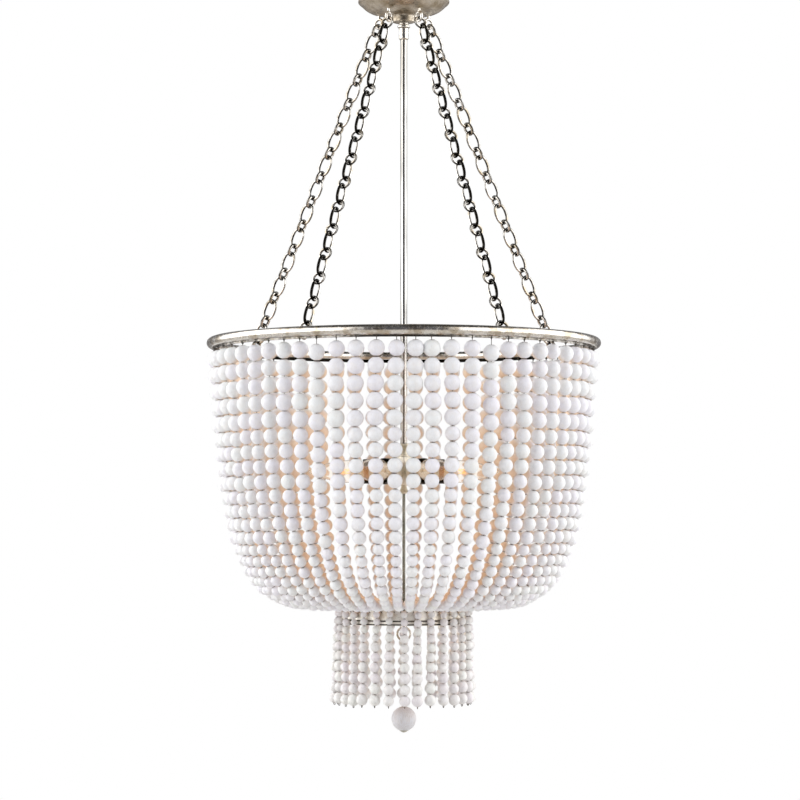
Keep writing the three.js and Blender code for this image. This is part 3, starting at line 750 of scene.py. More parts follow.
leaf_canopy = leaf_over_clay("silver_leaf_toned_canopy", "#CEC5B7", "#A2947E", "#685B4D", 0.34, 0.1)
leaf_hub = leaf_over_clay("silver_leaf_toned_lamp_hub", "#EFECE0", "#DCD6C2", "#8F8974", 0.46, 0.03)
leaf_rod = leaf_over_clay("silver_leaf_dark_toned_rod", "#8B8C84", "#6E6F67", "#3E3E38", 0.22, 0.05)
leaf_stem = leaf_over_clay("silver_leaf_burnished_stem", "#F5F3EF", "#E0DACF", "#8F8678", 0.16, 0.0, 0.06)
leaf_hoop = leaf_over_clay("silver_leaf_burnished_hoop", "#E2DDD5", "#BDB19F", "#62584D", 0.2, 0.02)
leaf_band = leaf_over_clay("silver_leaf_matt_lower_band", "#F3EFE7", "#DDD3C3", "#9C9284", 0.5, 0.0)
leaf_chain = leaf_over_clay("silver_leaf_burnished_chain", "#F0ECE5", "#CFC2AC", "#5A5047", 0.2, 0.02)
bead_lacquer = lacquered_wood("white_satin_lacquer_on_basket_beads", "#F2F5F6", "#F0EFF7", 0.25)
tassel_lacquer = lacquered_wood("white_satin_lacquer_on_tassel_beads", "#ECEEEB", "#E7E3E8", 0.4)
ball_lacquer = lacquered_wood("greyed_satin_lacquer_on_finial_ball", "#DED9DC", "#D2D3D9", 0.7)
phenolic = moulded_phenolic()
bulb_glass = lit_glass()
filament_hot = hot_tungsten()

# Tinned stringing wire, drawn: dull grey with fine lines
wire_steel = plain_metal("drawn_tinned_wire", "#6F675D", "#3B352E", "TexNoise", 1.2, (0.3, 0.7), (0.35, 0.55),
                         Detail=2.0, Roughness=0.55)
# Zinc plated pressed steel: cool grey with a faint spangle
plated = plain_metal("zinc_plated_pressed_steel", "#A9ABAA", "#7F8283", "TexVoronoi", 4, (0.0, 0.8),
                     (0.3, 0.5))
# Nickel plate on the rolled screw shell of a lamp: pale and warm, with darker handling stains
screw_shell = plain_metal("nickel_plated_rolled_screw_shell", "#FBF7EF", "#DDD6C8", "TexNoise", 4, (0.3, 0.7),
                          (0.22, 0.4), Detail=3.0, Roughness=0.55)
# Copper-coloured lacquer on the sockets' mouths
collar = leaf_over_clay("copper_lacquered_socket_collar", "#C58B52", "#A06A38", "#6B4424", 0.4, 0.02)


# Canopy, crossbar and stem


def offset(points, out, up):
    """Points of (radius, height), all moved out and up by the same."""
    return np.asarray(points, float) + (out, up)


def build_canopy():
    """The dome's profile is a Catmull-Rom curve through the rim, the ogee's points and the boss."""
    canopy_r, top_r, boss_r = CANOPY_D / 2, CANOPY_TOP_D / 2, BOSS_D / 2
    radii = boss_r + np.array(DOME_RADIUS_SHARES) * (canopy_r - boss_r)
    heights = -RIM_HEIGHT - np.array(DOME_DROP_SHARES) * DOME_HEIGHT
    dome = np.stack([radii, heights], 1)
    tuck, full = (-RIM_HEIGHT * share for share in RIM_DROP_SHARES)
    fillet = offset(BOSS_FILLET, boss_r, DOME_BOTTOM)
    rim = [[top_r, 0], [canopy_r - RIM_TUCK, tuck], [canopy_r, full]]
    outside = resampled(np.vstack([rim, dome, fillet[:1]]), 60)
    soft = BOSS_EDGE * BOSS_EDGE_SHARE
    edge = offset([[0, BOSS_EDGE], [-soft, soft], [-BOSS_EDGE, 0]], boss_r, BOSS_BOTTOM)
    foot = resampled(np.vstack([fillet[1:], edge]), 16)
    bore_r = PIPE_D / 2 + GAP
    profile = np.vstack([
        outside, foot,
        [[bore_r, BOSS_BOTTOM], [bore_r, BOSS_BOTTOM + BOSS_FLOOR], [boss_r, BOSS_BOTTOM + BOSS_FLOOR]],
        offset(dome[::-1], -CANOPY_WALL, CANOPY_WALL),
        [[canopy_r - CANOPY_WALL - RIM_INSIDE_TUCK, -RIM_HEIGHT], [top_r - CANOPY_WALL, 0]],
    ])
    shell = turned_ring(profile, 96, 0)
    blend = (DOME_BOTTOM - BOSS_WASH_BLEND, DOME_BOTTOM + BOSS_WASH_BLEND)
    values = {"toning_and_painted_shade": np.interp(shell[0][:, 2] / MM, blend, [BOSS_WASH, 0])}
    piece("canopy_shell", [(shell, 0)], [leaf_canopy], "root", ["canopy"], values=values)


def threaded_profile(radius, low, high, pitch, depth):
    """A thread drawn as rings: the radius falls by depth halfway along each pitch."""
    count = int((high - low) / pitch) * 2
    heights = np.linspace(low, high, count + 1)
    radii = radius - depth * (np.arange(count + 1) % 2)
    return np.vstack([[[0, low]], np.stack([radii, heights], 1), [[0, high]]])


def finish_crossbar():
    """The pressed strip keeps its CAD shape and takes the zinc."""
    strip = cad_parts["ceiling_crossbar"]
    strip.data.materials.clear()
    strip.data.materials.append(plated)


def wash_and_painted_lines(shape):
    """A thin wash all over a pipe, and painted dark reflection lines evenly spaced round it, one of them on
    the camera's side: the peaks of a cosine of the azimuth."""
    points = shape[0]
    wave = np.cos(STEM_PAINTED_LINES * (np.arctan2(points[:, 1], points[:, 0]) + np.pi / 2))
    return STEM_WASH + PAINTED_LINE_SHADE * np.clip(1 + PAINTED_LINE_SHARPNESS * (wave - 1), 0, 1)


def build_stem():
    """The stem is a plain pipe. The nut has a disc and a neck, the sleeve has soft ends, and the nipple a
    thread."""
    pipe_r, neck_r = PIPE_D / 2, NUT_NECK_D / 2
    bore_r = pipe_r + GAP
    low, high = (end[2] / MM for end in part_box("stem"))
    stem = turned([[0, low], [pipe_r, low], [pipe_r, high], [0, high]], 72, 0.3)
    values = {"toning_and_painted_shade": wash_and_painted_lines(stem)}
    piece("stem_pipe", [(stem, 0)], [leaf_stem], "root", ["stem"], values=values)

    (_, _, bottom), (_, outer, top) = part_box("canopy_nut")
    bottom, outer, top = bottom / MM, outer / MM, top / MM
    disc_top = bottom + NUT_DISC_HEIGHT
    nut = turned_ring([
        [bore_r, top], [bore_r, bottom], [outer - NUT_EDGE / 2, bottom], [outer, bottom + NUT_EDGE],
        [outer, disc_top - NUT_EDGE], [outer - NUT_SHOULDER, disc_top], [neck_r, disc_top + NUT_FILLET],
        [neck_r, top],
    ], 64, 0.5)
    piece("canopy_nut_turned", [(nut, 0)], [leaf_hoop], "root", ["canopy_nut"])

    (_, _, bottom), (_, outer, top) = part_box("stem_sleeve")
    bottom, outer, top = bottom / MM, outer / MM, top / MM
    sleeve = turned_ring([
        [bore_r, top], [bore_r, bottom], [outer - SLEEVE_EDGE, bottom], [outer, bottom + SLEEVE_EDGE],
        [outer, top - SLEEVE_EDGE / 2], [outer - SLEEVE_EDGE / 2, top],
    ], 64, 0.5)
    piece("stem_sleeve_turned", [(sleeve, 0)], [leaf_hoop], "root", ["stem_sleeve"])

    low, high = (end[2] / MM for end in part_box("crossbar_nipple"))
    nipple = turned(threaded_profile(pipe_r, low, high, THREAD_PITCH, THREAD_DEPTH), 32, 0)
    piece("nipple_threaded", [(nipple, 0)], [plated], "root", ["crossbar_nipple"])


# Chains


def chain_ends():
    """Where each chain starts and ends in a plane through the axis, as (radius, height), and how far
    along it the first link's wire is from the start."""
    wire_r, eye_r = WIRE_D / 2, EYE_RING_D / 2
    start = np.array([CANOPY_EYE_RADIUS, -CANOPY_EYE_DROP])
    end = np.array([HOOP_R - HOOP_TUBE_D / 2 - eye_r - wire_r + HOOP_EYE_BITE, -HOOP_DROP - wire_r])
    return start, end, eye_r - 2 * wire_r - GAP


def eye_ring(out, up):
    """A ring of the chain's wire that stands on edge, its middle at a radius and a height."""
    path = loop_path(EYE_RING_D / 2, EYE_RING_D / 2, (1, 0, 0), (0, 0, 1), (out * MM, 0, up * MM))
    return tube(path, (0, -1, 0), WIRE_D, WIRE_SIDES, True)


def chain_skins():
    """Round links stand across the chain's plane and oval links lie in it, each bearing on the next."""
    start, end, seat = chain_ends()
    span = np.linalg.norm(end - start)
    way = (end - start) / span
    along = np.array([way[0], 0, way[1]])
    sideways = np.array([0.0, 1.0, 0.0])
    in_plane = np.cross(along, sideways)
    reaches = np.array([ROUND_D - WIRE_D, OVAL_LENGTH - WIRE_D])
    held = WIRE_D - LINK_BITE
    room = span - 2 * seat
    pairs = round((room - reaches[0]) / (reaches.sum() - 2 * held))
    fit = (room + 2 * pairs * held) / (pairs * reaches[1] + (pairs + 1) * reaches[0])
    place = seat
    links, washes_and_painted_shades = [], []
    for i in range(2 * pairs + 1):
        half = fit * reaches[i % 2] / 2
        at = start + way * (place + half)
        centre = np.array([at[0], 0, at[1]]) * MM
        if i % 2 == 0:
            path = loop_path(half, reaches[0] / 2, along, sideways, centre)
            normal = in_plane
        else:
            path = loop_path(half, (OVAL_WIDTH - WIRE_D) / 2, along, in_plane, centre, OVAL_POWER)
            normal = np.cross(along, in_plane)
        link = tube(path, normal, WIRE_D, WIRE_SIDES, True)
        from_centre = np.repeat(path, WIRE_SIDES, axis=0) - centre
        out = from_centre / np.linalg.norm(from_centre, axis=1, keepdims=True)
        facing = np.einsum("pi,pi->p", link[0] - centre - from_centre, out) / (WIRE_D / 2 * MM)
        limb = np.maximum(from_centre @ in_plane / (OVAL_WIDTH / 2 * MM), 0)
        bearing = np.interp(np.abs(from_centre @ along) / (half * MM), BEARING_SHARES, [0, 1])
        # Painted shade and dark reflections on the wire's faces, on the outer limbs and where links bear, over
        # a thin wash everywhere
        common = WASH_EVERYWHERE + PAINTED_SHADE_BY_FACE * np.abs(facing) ** FACE_POWER + PAINTED_SHADE_BY_BEARING * bearing
        washes_and_painted_shades.append(np.stack([common + share * limb for share in PAINTED_SHADE_BY_LIMB]))
        links.append(link)
        place += 2 * half - held
    return merged(links), np.clip(np.concatenate(washes_and_painted_shades, 1), 0, 1)


def build_chains():
    """The painted shade lies thicker on the outer limbs of the front pair of chains, over a thin wash on all
    of them.
    """
    chain, washes_and_painted_shades = chain_skins()
    for i, azimuth in enumerate(CHAIN_AZIMUTHS, 1):
        skins = [(placed(chain, turn_z(azimuth)), 0)]
        values = {"toning_and_painted_shade": washes_and_painted_shades[0 if math.cos(math.radians(azimuth + 90)) > 0 else 1]}
        piece(f"chain_links_{i}", skins, [leaf_chain], "root", [f"chain_{i}"], None, False,
              values)


def build_canopy_eyes():
    """An eye bolt: a ring of wire, its shank and the head inside the canopy."""
    wire_r, head_r = WIRE_D / 2, EYE_HEAD_D / 2
    shank_low = -CANOPY_EYE_DROP + EYE_RING_D / 2
    edge_in, edge_down = EYE_HEAD_EDGE
    for i, azimuth in enumerate(CHAIN_AZIMUTHS, 1):
        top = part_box(f"canopy_eye_{i}")[1][2] / MM
        head_low = top - EYE_HEAD_HEIGHT
        bolt = placed(turned([
            [0, shank_low - SHANK_SINK], [wire_r, shank_low], [wire_r, head_low], [head_r, head_low],
            [head_r, top - edge_down], [head_r - edge_in, top], [0, top],
        ], 24, 0.3), None, (CANOPY_EYE_RADIUS * MM, 0, 0))
        ring = eye_ring(CANOPY_EYE_RADIUS, -CANOPY_EYE_DROP)
        skins = [(placed(shape, turn_z(azimuth)), 0) for shape in (ring, bolt)]
        piece(f"canopy_eye_bolt_{i}", skins, [leaf_chain], "root", [f"canopy_eye_{i}"])


# Top hoop


def build_top_hoop():
    """A round tube: r = R + a cos t, h = H + a sin t. Its flange is a thin band below, and four eyes are
    welded inside."""
    t = np.linspace(0, 2 * np.pi, 28, endpoint=False)
    tube_r = HOOP_TUBE_D / 2
    body = turned_ring(np.stack([HOOP_R + tube_r * np.cos(t), -HOOP_DROP + tube_r * np.sin(t)], 1), 240, 0)
    inner = FLANGE_R - FLANGE_THICKNESS
    low, high = -HOOP_DROP - tube_r - FLANGE_HEIGHT, -HOOP_DROP - tube_r + FLANGE_SINK
    band = turned_ring([[inner, high], [inner, low], [FLANGE_R, low], [FLANGE_R, high]], 240, 0.4)
    # Painted shade on the flange, darkest on its inner side
    from_axis = np.linalg.norm(band[0][:, :2], axis=1) / MM
    near, far = FLANGE_SHADE_INSETS
    band_darkening = np.interp(from_axis, [inner + near, FLANGE_R - far], FLANGE_PAINTED_SHADE)
    _, end, _ = chain_ends()
    eyes = merged([placed(eye_ring(*end), turn_z(azimuth)) for azimuth in CHAIN_AZIMUTHS])
    skins = [(body, 0), (band, 0), (eyes, 0)]
    toning_and_painted_shade = np.concatenate([np.zeros(len(body[0])), band_darkening, np.full(len(eyes[0]), HOOP_EYE_WASH)])
    piece("top_hoop_tube", skins, [leaf_hoop], "root", ["top_hoop"], values={"toning_and_painted_shade": toning_and_painted_shade})


# Basket strands


def strand_curve():
    """A cubic Bezier from the flange to the lower hoop, as many points of (radius, height), and then the
    tail."""
    top_r = FLANGE_R - FLANGE_THICKNESS / 2
    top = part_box("basket_strands_01")[1][2] / MM
    drop = top + STRAND_END_DROP
    ends = [
        [top_r, top],
        [top_r * UPPER_HANDLE[0], top - drop * UPPER_HANDLE[1]],
        [top_r * LOWER_HANDLE[0], top - drop * LOWER_HANDLE[1]],
        [STRAND_END_RADIUS, -STRAND_END_DROP],
    ]
    a, b, c, d = (np.array(p) for p in ends)
    t = np.linspace(0, 1, STRAND_POINTS)[:, None]
    curve = (1 - t) ** 3 * a + 3 * t * (1 - t) ** 2 * b + 3 * t**2 * (1 - t) * c + t**3 * d
    tail = resampled(np.vstack([curve[-TAIL_OVERLAP], curve[-1], TAIL]), TAIL_POINTS)
    return np.vstack([curve[:-TAIL_OVERLAP], tail])


def run_of(curve):
    """How far along a curve each of its points is."""
    return np.concatenate([[0], np.cumsum(np.linalg.norm(np.diff(curve, axis=0), axis=1))])


def at_lengths(curve, lengths):
    """The points and directions at given lengths along a curve of many points."""
    run = run_of(curve)
    way = np.gradient(curve, axis=0)
    places = np.stack([np.interp(lengths, run, curve[:, k]) for k in range(curve.shape[1])], 1)
    ways = np.stack([np.interp(lengths, run, way[:, k]) for k in range(curve.shape[1])], 1)
    return places, ways / np.linalg.norm(ways, axis=1, keepdims=True)


def bead_frames(ways, spins):
    """A frame for each bead: its own Z runs along the strand, and its X and Y are turned about it by its
    spin."""
    helper = np.where(np.abs(ways[:, 2:]) < 0.9, np.array([[0.0, 0.0, 1.0]]), np.array([[1.0, 0.0, 0.0]]))
    x = np.cross(helper, ways)
    x /= np.linalg.norm(x, axis=1, keepdims=True)
    y = np.cross(ways, x)
    c, s = np.cos(spins)[:, None], np.sin(spins)[:, None]
    return np.stack([c * x + s * y, c * y - s * x, ways], -1)


def bead_run(places, ways, sizes):
    """Beads at places in metres. Each point also gets its own place in its bead, moved sideways by whole
    steps so that hardly any two beads share a grain, the bead's tint, and how far it faces the lamps: the
    cosine of the angle between its way out of the bead and the way to the lamps."""
    count = len(places)
    frames = bead_frames(ways, rng.uniform(0, 2 * np.pi, count))
    shape = copies(BEAD, places, frames, sizes / 2 * MM)
    own = BEAD[0][None] + np.pad(rng.integers(0, OWN_STEPS, (count, 2)) * OWN_STEP, ((0, 0), (0, 1)))[:, None]
    tint = np.repeat(rng.uniform(0, 1, count), len(BEAD[0]))
    # How far each point faces the lamps, for the painted warm light of the lamps
    to_lamps = np.array([0, 0, -LAMP_DROP * MM]) - places
    to_lamps /= np.linalg.norm(to_lamps, axis=1, keepdims=True)
    inner = np.einsum("nij,pj,ni->np", frames, BEAD[0], to_lamps)
    return shape, own.reshape(-1, 3), tint, inner.ravel()


def strung(name, strings, wires, replaced, lacquer, body="root", lamplight_share=1.0):
    """One piece of beads and their wires. strings holds (places, ways, sizes) for each run of beads, and
    wires their skins."""
    runs = [bead_run(*string) for string in strings]
    rest = np.zeros(sum(len(points) for points, _ in wires))
    own = np.vstack([run[1] for run in runs] + [np.zeros((len(rest), 3))])
    tint = np.concatenate([run[2] for run in runs] + [rest])
    inner = np.concatenate([run[3] * lamplight_share for run in runs] + [rest])
    skins = [(run[0], 0) for run in runs] + [(wire, 1) for wire in wires]
    piece(name, skins, [lacquer, wire_steel], body, replaced, own, False,
          {"bead_tint": tint, "painted_lamplight": inner})


def hung(line, run, azimuths):
    """Points of (radius, height) in millimetres as points in metres. The azimuth goes from the strand's
    upper one to its lower one over the first SLIP_FADE millimetres of its run."""
    angle = np.radians(np.interp(run, [0, SLIP_FADE], azimuths))
    return np.stack([line[:, 0] * np.cos(angle), line[:, 0] * np.sin(angle), line[:, 1]], 1) * MM


def hung_at(number):
    """A strand's azimuth at its hook and lower down. Strands are hung by eye, so a few degrees are gained
    or lost: the slips are those of the front half from the middle outwards, then those of the back half,
    and both sides have the same."""
    pair = min(number, STRANDS - 1 - number)
    slips = np.array([HUNG_SLIPS[pair], LOW_SLIPS[pair]]) * (1 if number < STRANDS / 2 else -1)
    return -90 + (number + 0.5) * 360 / STRANDS + slips + (FRONT_PAIR_SLIP if pair == 0 else 0, 0)


def build_basket():
    """Each strand's beads sit at the running sum of their sizes along its curve, with small slips of the
    hand. Its wire goes up through the flange in a small hook, and in to the lower hoop at the end.
    Strands of the front third drift half as far as the others."""
    curve = strand_curve()
    sizes = np.array(BEAD_SIZES, float)
    middles = HOOK_SHOWN + np.cumsum(sizes) - sizes / 2
    to_end = np.clip((middles[-1] - middles) / (SLIP_END_SHARE * middles[-1]), 0, 1)
    slip_sizes = LOW_BEAD_SLIP + (BEAD_SLIP - LOW_BEAD_SLIP) * to_end
    hook = resampled(curve[0] + np.array(HOOK_SHAPE), 24)
    tail = resampled([curve[-1], [LOWER_HOOP_D / 2 - TAIL_WIRE_IN, -LOWER_HOOP_TOP - TAIL_WIRE_DROP]], 8)
    threads = (
        (curve[::THREAD_STEP], run_of(curve)[::THREAD_STEP]),
        (hook, 0 * hook[:, 0]),
        (tail, 0 * tail[:, 0] + SLIP_FADE),
    )
    per_sector = STRANDS // SECTORS
    for sector in range(SECTORS):
        strings, wires = [], []
        for number in range(sector * per_sector, (sector + 1) * per_sector):
            azimuths = hung_at(number) + rng.normal(0, STRAND_SWAY)
            low_slip = abs(rng.normal(0, STRAND_SLIP))
            if min(number, STRANDS - 1 - number) == LOW_PAIR:
                low_slip += LOW_PAIR_DROP
            stagger = END_STAGGER * (number % 2 - 0.5) * (1 - to_end)
            own_sizes = sizes * rng.normal(1, BEAD_SIZE_SPREAD, len(sizes))
            behind = STRANDS / 6 < number < STRANDS * 5 / 6
            drift = np.cumsum(own_sizes - sizes) * (1 if behind else FRONT_DRIFT_SHARE)
            lengths = middles + low_slip * to_end + stagger + drift
            places, ways = at_lengths(curve, lengths)
            slip = rng.normal(0, 1, (len(places), 3)) * slip_sizes[:, None]
            points = hung(places, lengths, azimuths) + slip * MM
            strings.append((points, hung(ways, lengths, azimuths) / MM, own_sizes * BEAD_FIT))
            normal = turn_z(azimuths[1]) @ (0, 1, 0)
            wires += [tube(hung(line, run, azimuths), normal, STRAND_WIRE_D, 6) for line, run in threads]
        label = f"{sector + 1:02d}"
        strung(f"basket_beads_{label}", strings, wires, [f"basket_strands_{label}"], bead_lacquer)


# Lamp hub, sockets and bulbs


def build_hub():
    """A hexagonal block: r = f / cos d, where d is the angle from the nearest flat, held back at the
    corners, with the ends drawn in for a chamfer. The caps above and below are turned."""
    low, high = -LAMP_DROP - HUB_HEIGHT / 2, -LAMP_DROP + HUB_HEIGHT / 2
    angle = np.linspace(0, 2 * np.pi, 96, endpoint=False)
    from_flat = (angle + np.pi / LAMPS) % (2 * np.pi / LAMPS) - np.pi / LAMPS
    face = HUB_ACROSS_FLATS / 2
    radius = np.minimum(face / np.cos(from_flat), face * HUB_CORNER_SHARE)
    chamfer = np.array(HUB_CHAMFER)
    levels = np.vstack([offset(chamfer, 0, low), offset(chamfer * (1, -1), 0, high)[::-1]])
    out = levels[:, :1] * radius
    rings = np.stack(np.broadcast_arrays(out * np.cos(angle), out * np.sin(angle), levels[:, 1:]), -1) * MM
    piece("lamp_hub_block", [(skin(rings), 0)], [leaf_hub], "root", ["lamp_hub"])

    low, high = (end[2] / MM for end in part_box("hub_top_cap"))
    bore_r = PIPE_D / 2 + GAP
    bell = resampled(offset(TOP_CAP_BELL, 0, low), 26)
    profile = np.vstack([[[bore_r, high], [bore_r, low]], offset(TOP_CAP_FOOT, 0, low), bell,
                         offset(TOP_CAP_LIP, 0, low)])
    cup = turned_ring(profile, 64, 0.2)
    piece("hub_top_cup", [(cup, 0)], [leaf_hub], "root", ["hub_top_cap"])

    low, high = (end[2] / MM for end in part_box("hub_bottom_cap"))
    bore_r = ROD_D / 2 + GAP
    bell = resampled(offset(BOTTOM_CAP_BELL, 0, low), 18)
    profile = np.vstack([[[bore_r, low], [bore_r, high], [BOTTOM_CAP_NECK_R, high]], bell,
                         offset(BOTTOM_CAP_FOOT, 0, low)])
    cup = turned_ring(profile, 48, 0.2)
    piece("hub_bottom_bell", [(cup, 0)], [leaf_hub], "root", ["hub_bottom_cap"])


def socket_skin(start, shell, floor, end):
    """A socket turned about Z: its neck, flare, beaded shell and mouth, and the bore down to its floor."""
    outer, neck = SOCKET_D / 2, SOCKET_NECK_D / 2
    mouth, bore = SOCKET_MOUTH_D / 2, SOCKET_BORE_D / 2
    ledge = end - SOCKET_MOUTH_DEPTH
    return turned(np.vstack([
        [[0, start], [neck, start]], offset(SOCKET_FLARE, neck, shell), offset(SOCKET_SHOULDER, outer, shell),
        [[outer, end - COLLAR_LENGTH], [outer, end - SOCKET_EDGE], [outer - SOCKET_EDGE, end], [mouth, end],
         [mouth, ledge], [bore, ledge], [bore, floor], [0, floor]],
    ]), 56, 0.5, 2)


def bulb_skins(foot):
    """A bulb's screw shell, glass, filament and post, turned about Z from its foot. The shell's thread is
    a cosine, and the filament goes up and down between two heights as it goes round."""
    base = SOCKET_BORE_D / 2 - GAP
    turns = np.linspace(0, 1, 31)
    thread = np.stack([
        base - SHELL_THREAD_DEPTH / 2 * (1 - np.cos(turns * SHELL_THREADS * 2 * np.pi)),
        foot + SHELL_THREAD_FROM + turns * SHELL_THREAD_RUN,
    ], 1)
    shell_top = foot + SHELL_TOP[1]
    shell = turned(np.vstack([
        [[0, foot]], offset(CONTACT, 0, foot), [[base - SHELL_FOOT[0], foot + SHELL_FOOT[1]]], thread,
        [[base - SHELL_TOP[0], shell_top], [0, shell_top]],
    ]), 48, 0)
    envelope = np.array(GLASS_PROFILE) * (1, BULB_LENGTH) + (0, foot)
    outside = resampled(np.vstack([[[base - GLASS_FOOT[0], foot + GLASS_FOOT[1]]], envelope]), 44)
    inside = outside - (GLASS_WALL, 0)
    tip = foot + BULB_LENGTH
    glass = turned(np.vstack([[[0, tip]], outside[::-1], inside[:-2], [[0, tip - 4 * GLASS_WALL]]]), 48, 0)
    turns = np.linspace(0, 1, 121)
    swing = np.abs((turns * FILAMENT_LOOPS * 2) % 2 - 1)
    heights = foot + BULB_LENGTH * np.interp(swing, [0, 1], FILAMENT_SHARES)
    around = turns * 2 * np.pi
    out = np.stack([np.cos(around), np.sin(around), 0 * around], 1)
    filament = tube((out * FILAMENT_R + heights[:, None] * (0, 0, 1)) * MM, out, FILAMENT_D, 6)
    return shell, glass, filament, turned(offset(POST, 0, foot), 12, 0.3)


def build_lamps():
    """Sockets and bulbs are turned about Z from the hub's face outwards, then laid out along their
    azimuth."""
    start = HUB_ACROSS_FLATS / 2 + GAP
    shell = start + SOCKET_NECK_LENGTH
    end = shell + SOCKET_LENGTH
    floor = shell + SOCKET_FLOOR
    socket = socket_skin(start, shell, floor, end)
    points, faces = socket
    middle = points[faces[:, :3]].mean(1) / MM
    from_axis, along = np.linalg.norm(middle[:, :2], axis=1), middle[:, 2]
    in_bore = (from_axis < SOCKET_BORE_D / 2 + BORE_MARGIN) & (along > floor - FLOOR_MARGIN)
    in_liner = in_bore & (along < end - LINER_DEPTH)
    on_collar = (from_axis > SOCKET_MOUTH_D / 2) & (along > end - COLLAR_LENGTH + COLLAR_MARGIN)
    # Painted dark reflections along each socket's top and bottom
    toning_and_painted_shade = np.interp(-points[:, 0] / MM / (SOCKET_D / 2), *SOCKET_PAINTED_SHADE)
    foot = floor + GAP
    parts = tuple(zip(bulb_skins(foot), (1, 0, 2, 0)))
    own = (np.vstack([shape[0] for shape, _ in parts]) / MM - (0, 0, foot)) / (BULB_D, BULB_D, BULB_LENGTH)
    move = (0, 0, -LAMP_DROP * MM)
    for i in range(LAMPS):
        turn = turn_z(360 * i / LAMPS) @ Z_TO_X
        piece(f"socket_shell_{i + 1}", [(placed(socket, turn, move), in_liner + 2 * on_collar)],
              [leaf_hub, phenolic, collar], "root", [f"socket_{i + 1}"], values={"toning_and_painted_shade": toning_and_painted_shade})
        piece(f"bulb_lamp_{i + 1}", [(placed(shape, turn, move), material) for shape, material in parts],
              [bulb_glass, screw_shell, filament_hot], f"lamp_{i + 1}", [f"bulb_{i + 1}"], own)


# Lower rod, hoop and tassels


def lower_band(inner, outer):
    """The band's profile with its rolled edges and two grooves, and the wash that lies in the grooves."""
    grooves = [offset(GROOVE, outer, height) for height in BAND_GROOVES]
    corners = [[inner, SPOKE_BOTTOM], [inner, -LOWER_HOOP_TOP], [outer, -LOWER_HOOP_TOP]]
    band = turned_ring(np.vstack([corners, *grooves, [[outer, SPOKE_BOTTOM]]]), 192, 0.5)
    from_axis = np.linalg.norm(band[0][:, :2], axis=1) / MM
    deep, shallow = GROOVE_WASH_INSETS
    return band, GROOVE_WASH * ((from_axis > outer - deep) & (from_axis < outer - shallow))


def build_lower_hoop():
    """The rod is a plain rod. The spokes are flat bars with a superellipse section, from the hub to the
    band."""
    low, high = (end[2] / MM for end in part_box("lower_rod"))
    rod_r = ROD_D / 2
    rod = turned([[0, low], [rod_r, low], [rod_r, high], [0, high]], 32, 0.4)
    piece("lower_rod_drawn", [(rod, 0)], [leaf_rod], "root", ["lower_rod"])

    outer = LOWER_HOOP_D / 2
    inner = outer - LOWER_HOOP_WALL
    band, band_darkening = lower_band(inner, outer)
    hub_r, bore_r = SPOKE_HUB_D / 2, rod_r + GAP
    spoke_top = SPOKE_BOTTOM + SPOKE_HEIGHT
    hub = turned_ring(np.vstack([
        [[bore_r, SPOKE_BOTTOM], [bore_r, spoke_top]],
        offset(SPOKE_HUB_TOP, 0, spoke_top),
        [[hub_r, SPOKE_BOTTOM]],
    ]), 64, 0.6)
    angle = np.linspace(0, 2 * np.pi, 20, endpoint=False)
    c, s = np.cos(angle), np.sin(angle)
    across = SPOKE_WIDTH / 2 * np.sign(c) * np.abs(c) ** SPOKE_ROUND_POWER
    up = SPOKE_BOTTOM + SPOKE_HEIGHT / 2 * (1 + np.sign(s) * np.abs(s) ** SPOKE_ROUND_POWER)
    reach = np.linspace(hub_r - SPOKE_SINKS[0], inner + SPOKE_SINKS[1], 6)[:, None]
    bar = skin(np.stack(np.broadcast_arrays(reach, across, up), -1) * MM)
    skins = [(band, 0), (hub, 0)] + [(placed(bar, turn_z(90 * i)), 0) for i in range(4)]
    rest = sum(len(shape[0]) for shape, _ in skins[1:])
    toning_and_painted_shade = np.concatenate([band_darkening, np.zeros(rest)])
    piece("lower_hoop_band", skins, [leaf_band], "root", ["lower_hoop"], values={"toning_and_painted_shade": toning_and_painted_shade})


def tassel_string(azimuth):
    """One string of growing beads, as (places, ways, sizes): sizes rise evenly from first to last, and
    fill the run. The string leans a little, and each bead is a little off it."""
    sizes = np.linspace(TASSEL_FIRST_D, TASSEL_LAST_D, TASSEL_BEADS)
    sizes *= rng.normal(1, TASSEL_SIZE_SPREAD, TASSEL_BEADS)
    sizes *= TASSEL_RUN / sizes.sum()
    drop = rng.uniform(0, TASSEL_DROP_SPREAD)
    heights = -TASSEL_TOP - drop - (np.cumsum(sizes) - sizes / 2)
    lean = rng.normal(0, TASSEL_LEAN, 2)
    down = np.linspace(0, 1, TASSEL_BEADS)
    sway = [down * side + rng.normal(0, TASSEL_SWAY, TASSEL_BEADS) for side in lean]
    points = polar(TASSEL_RADIUS, azimuth, 0) + np.stack([*sway, heights], 1) * MM
    ways = np.gradient(points, axis=0)
    return points, ways / np.linalg.norm(ways, axis=1, keepdims=True), sizes * BEAD_FIT


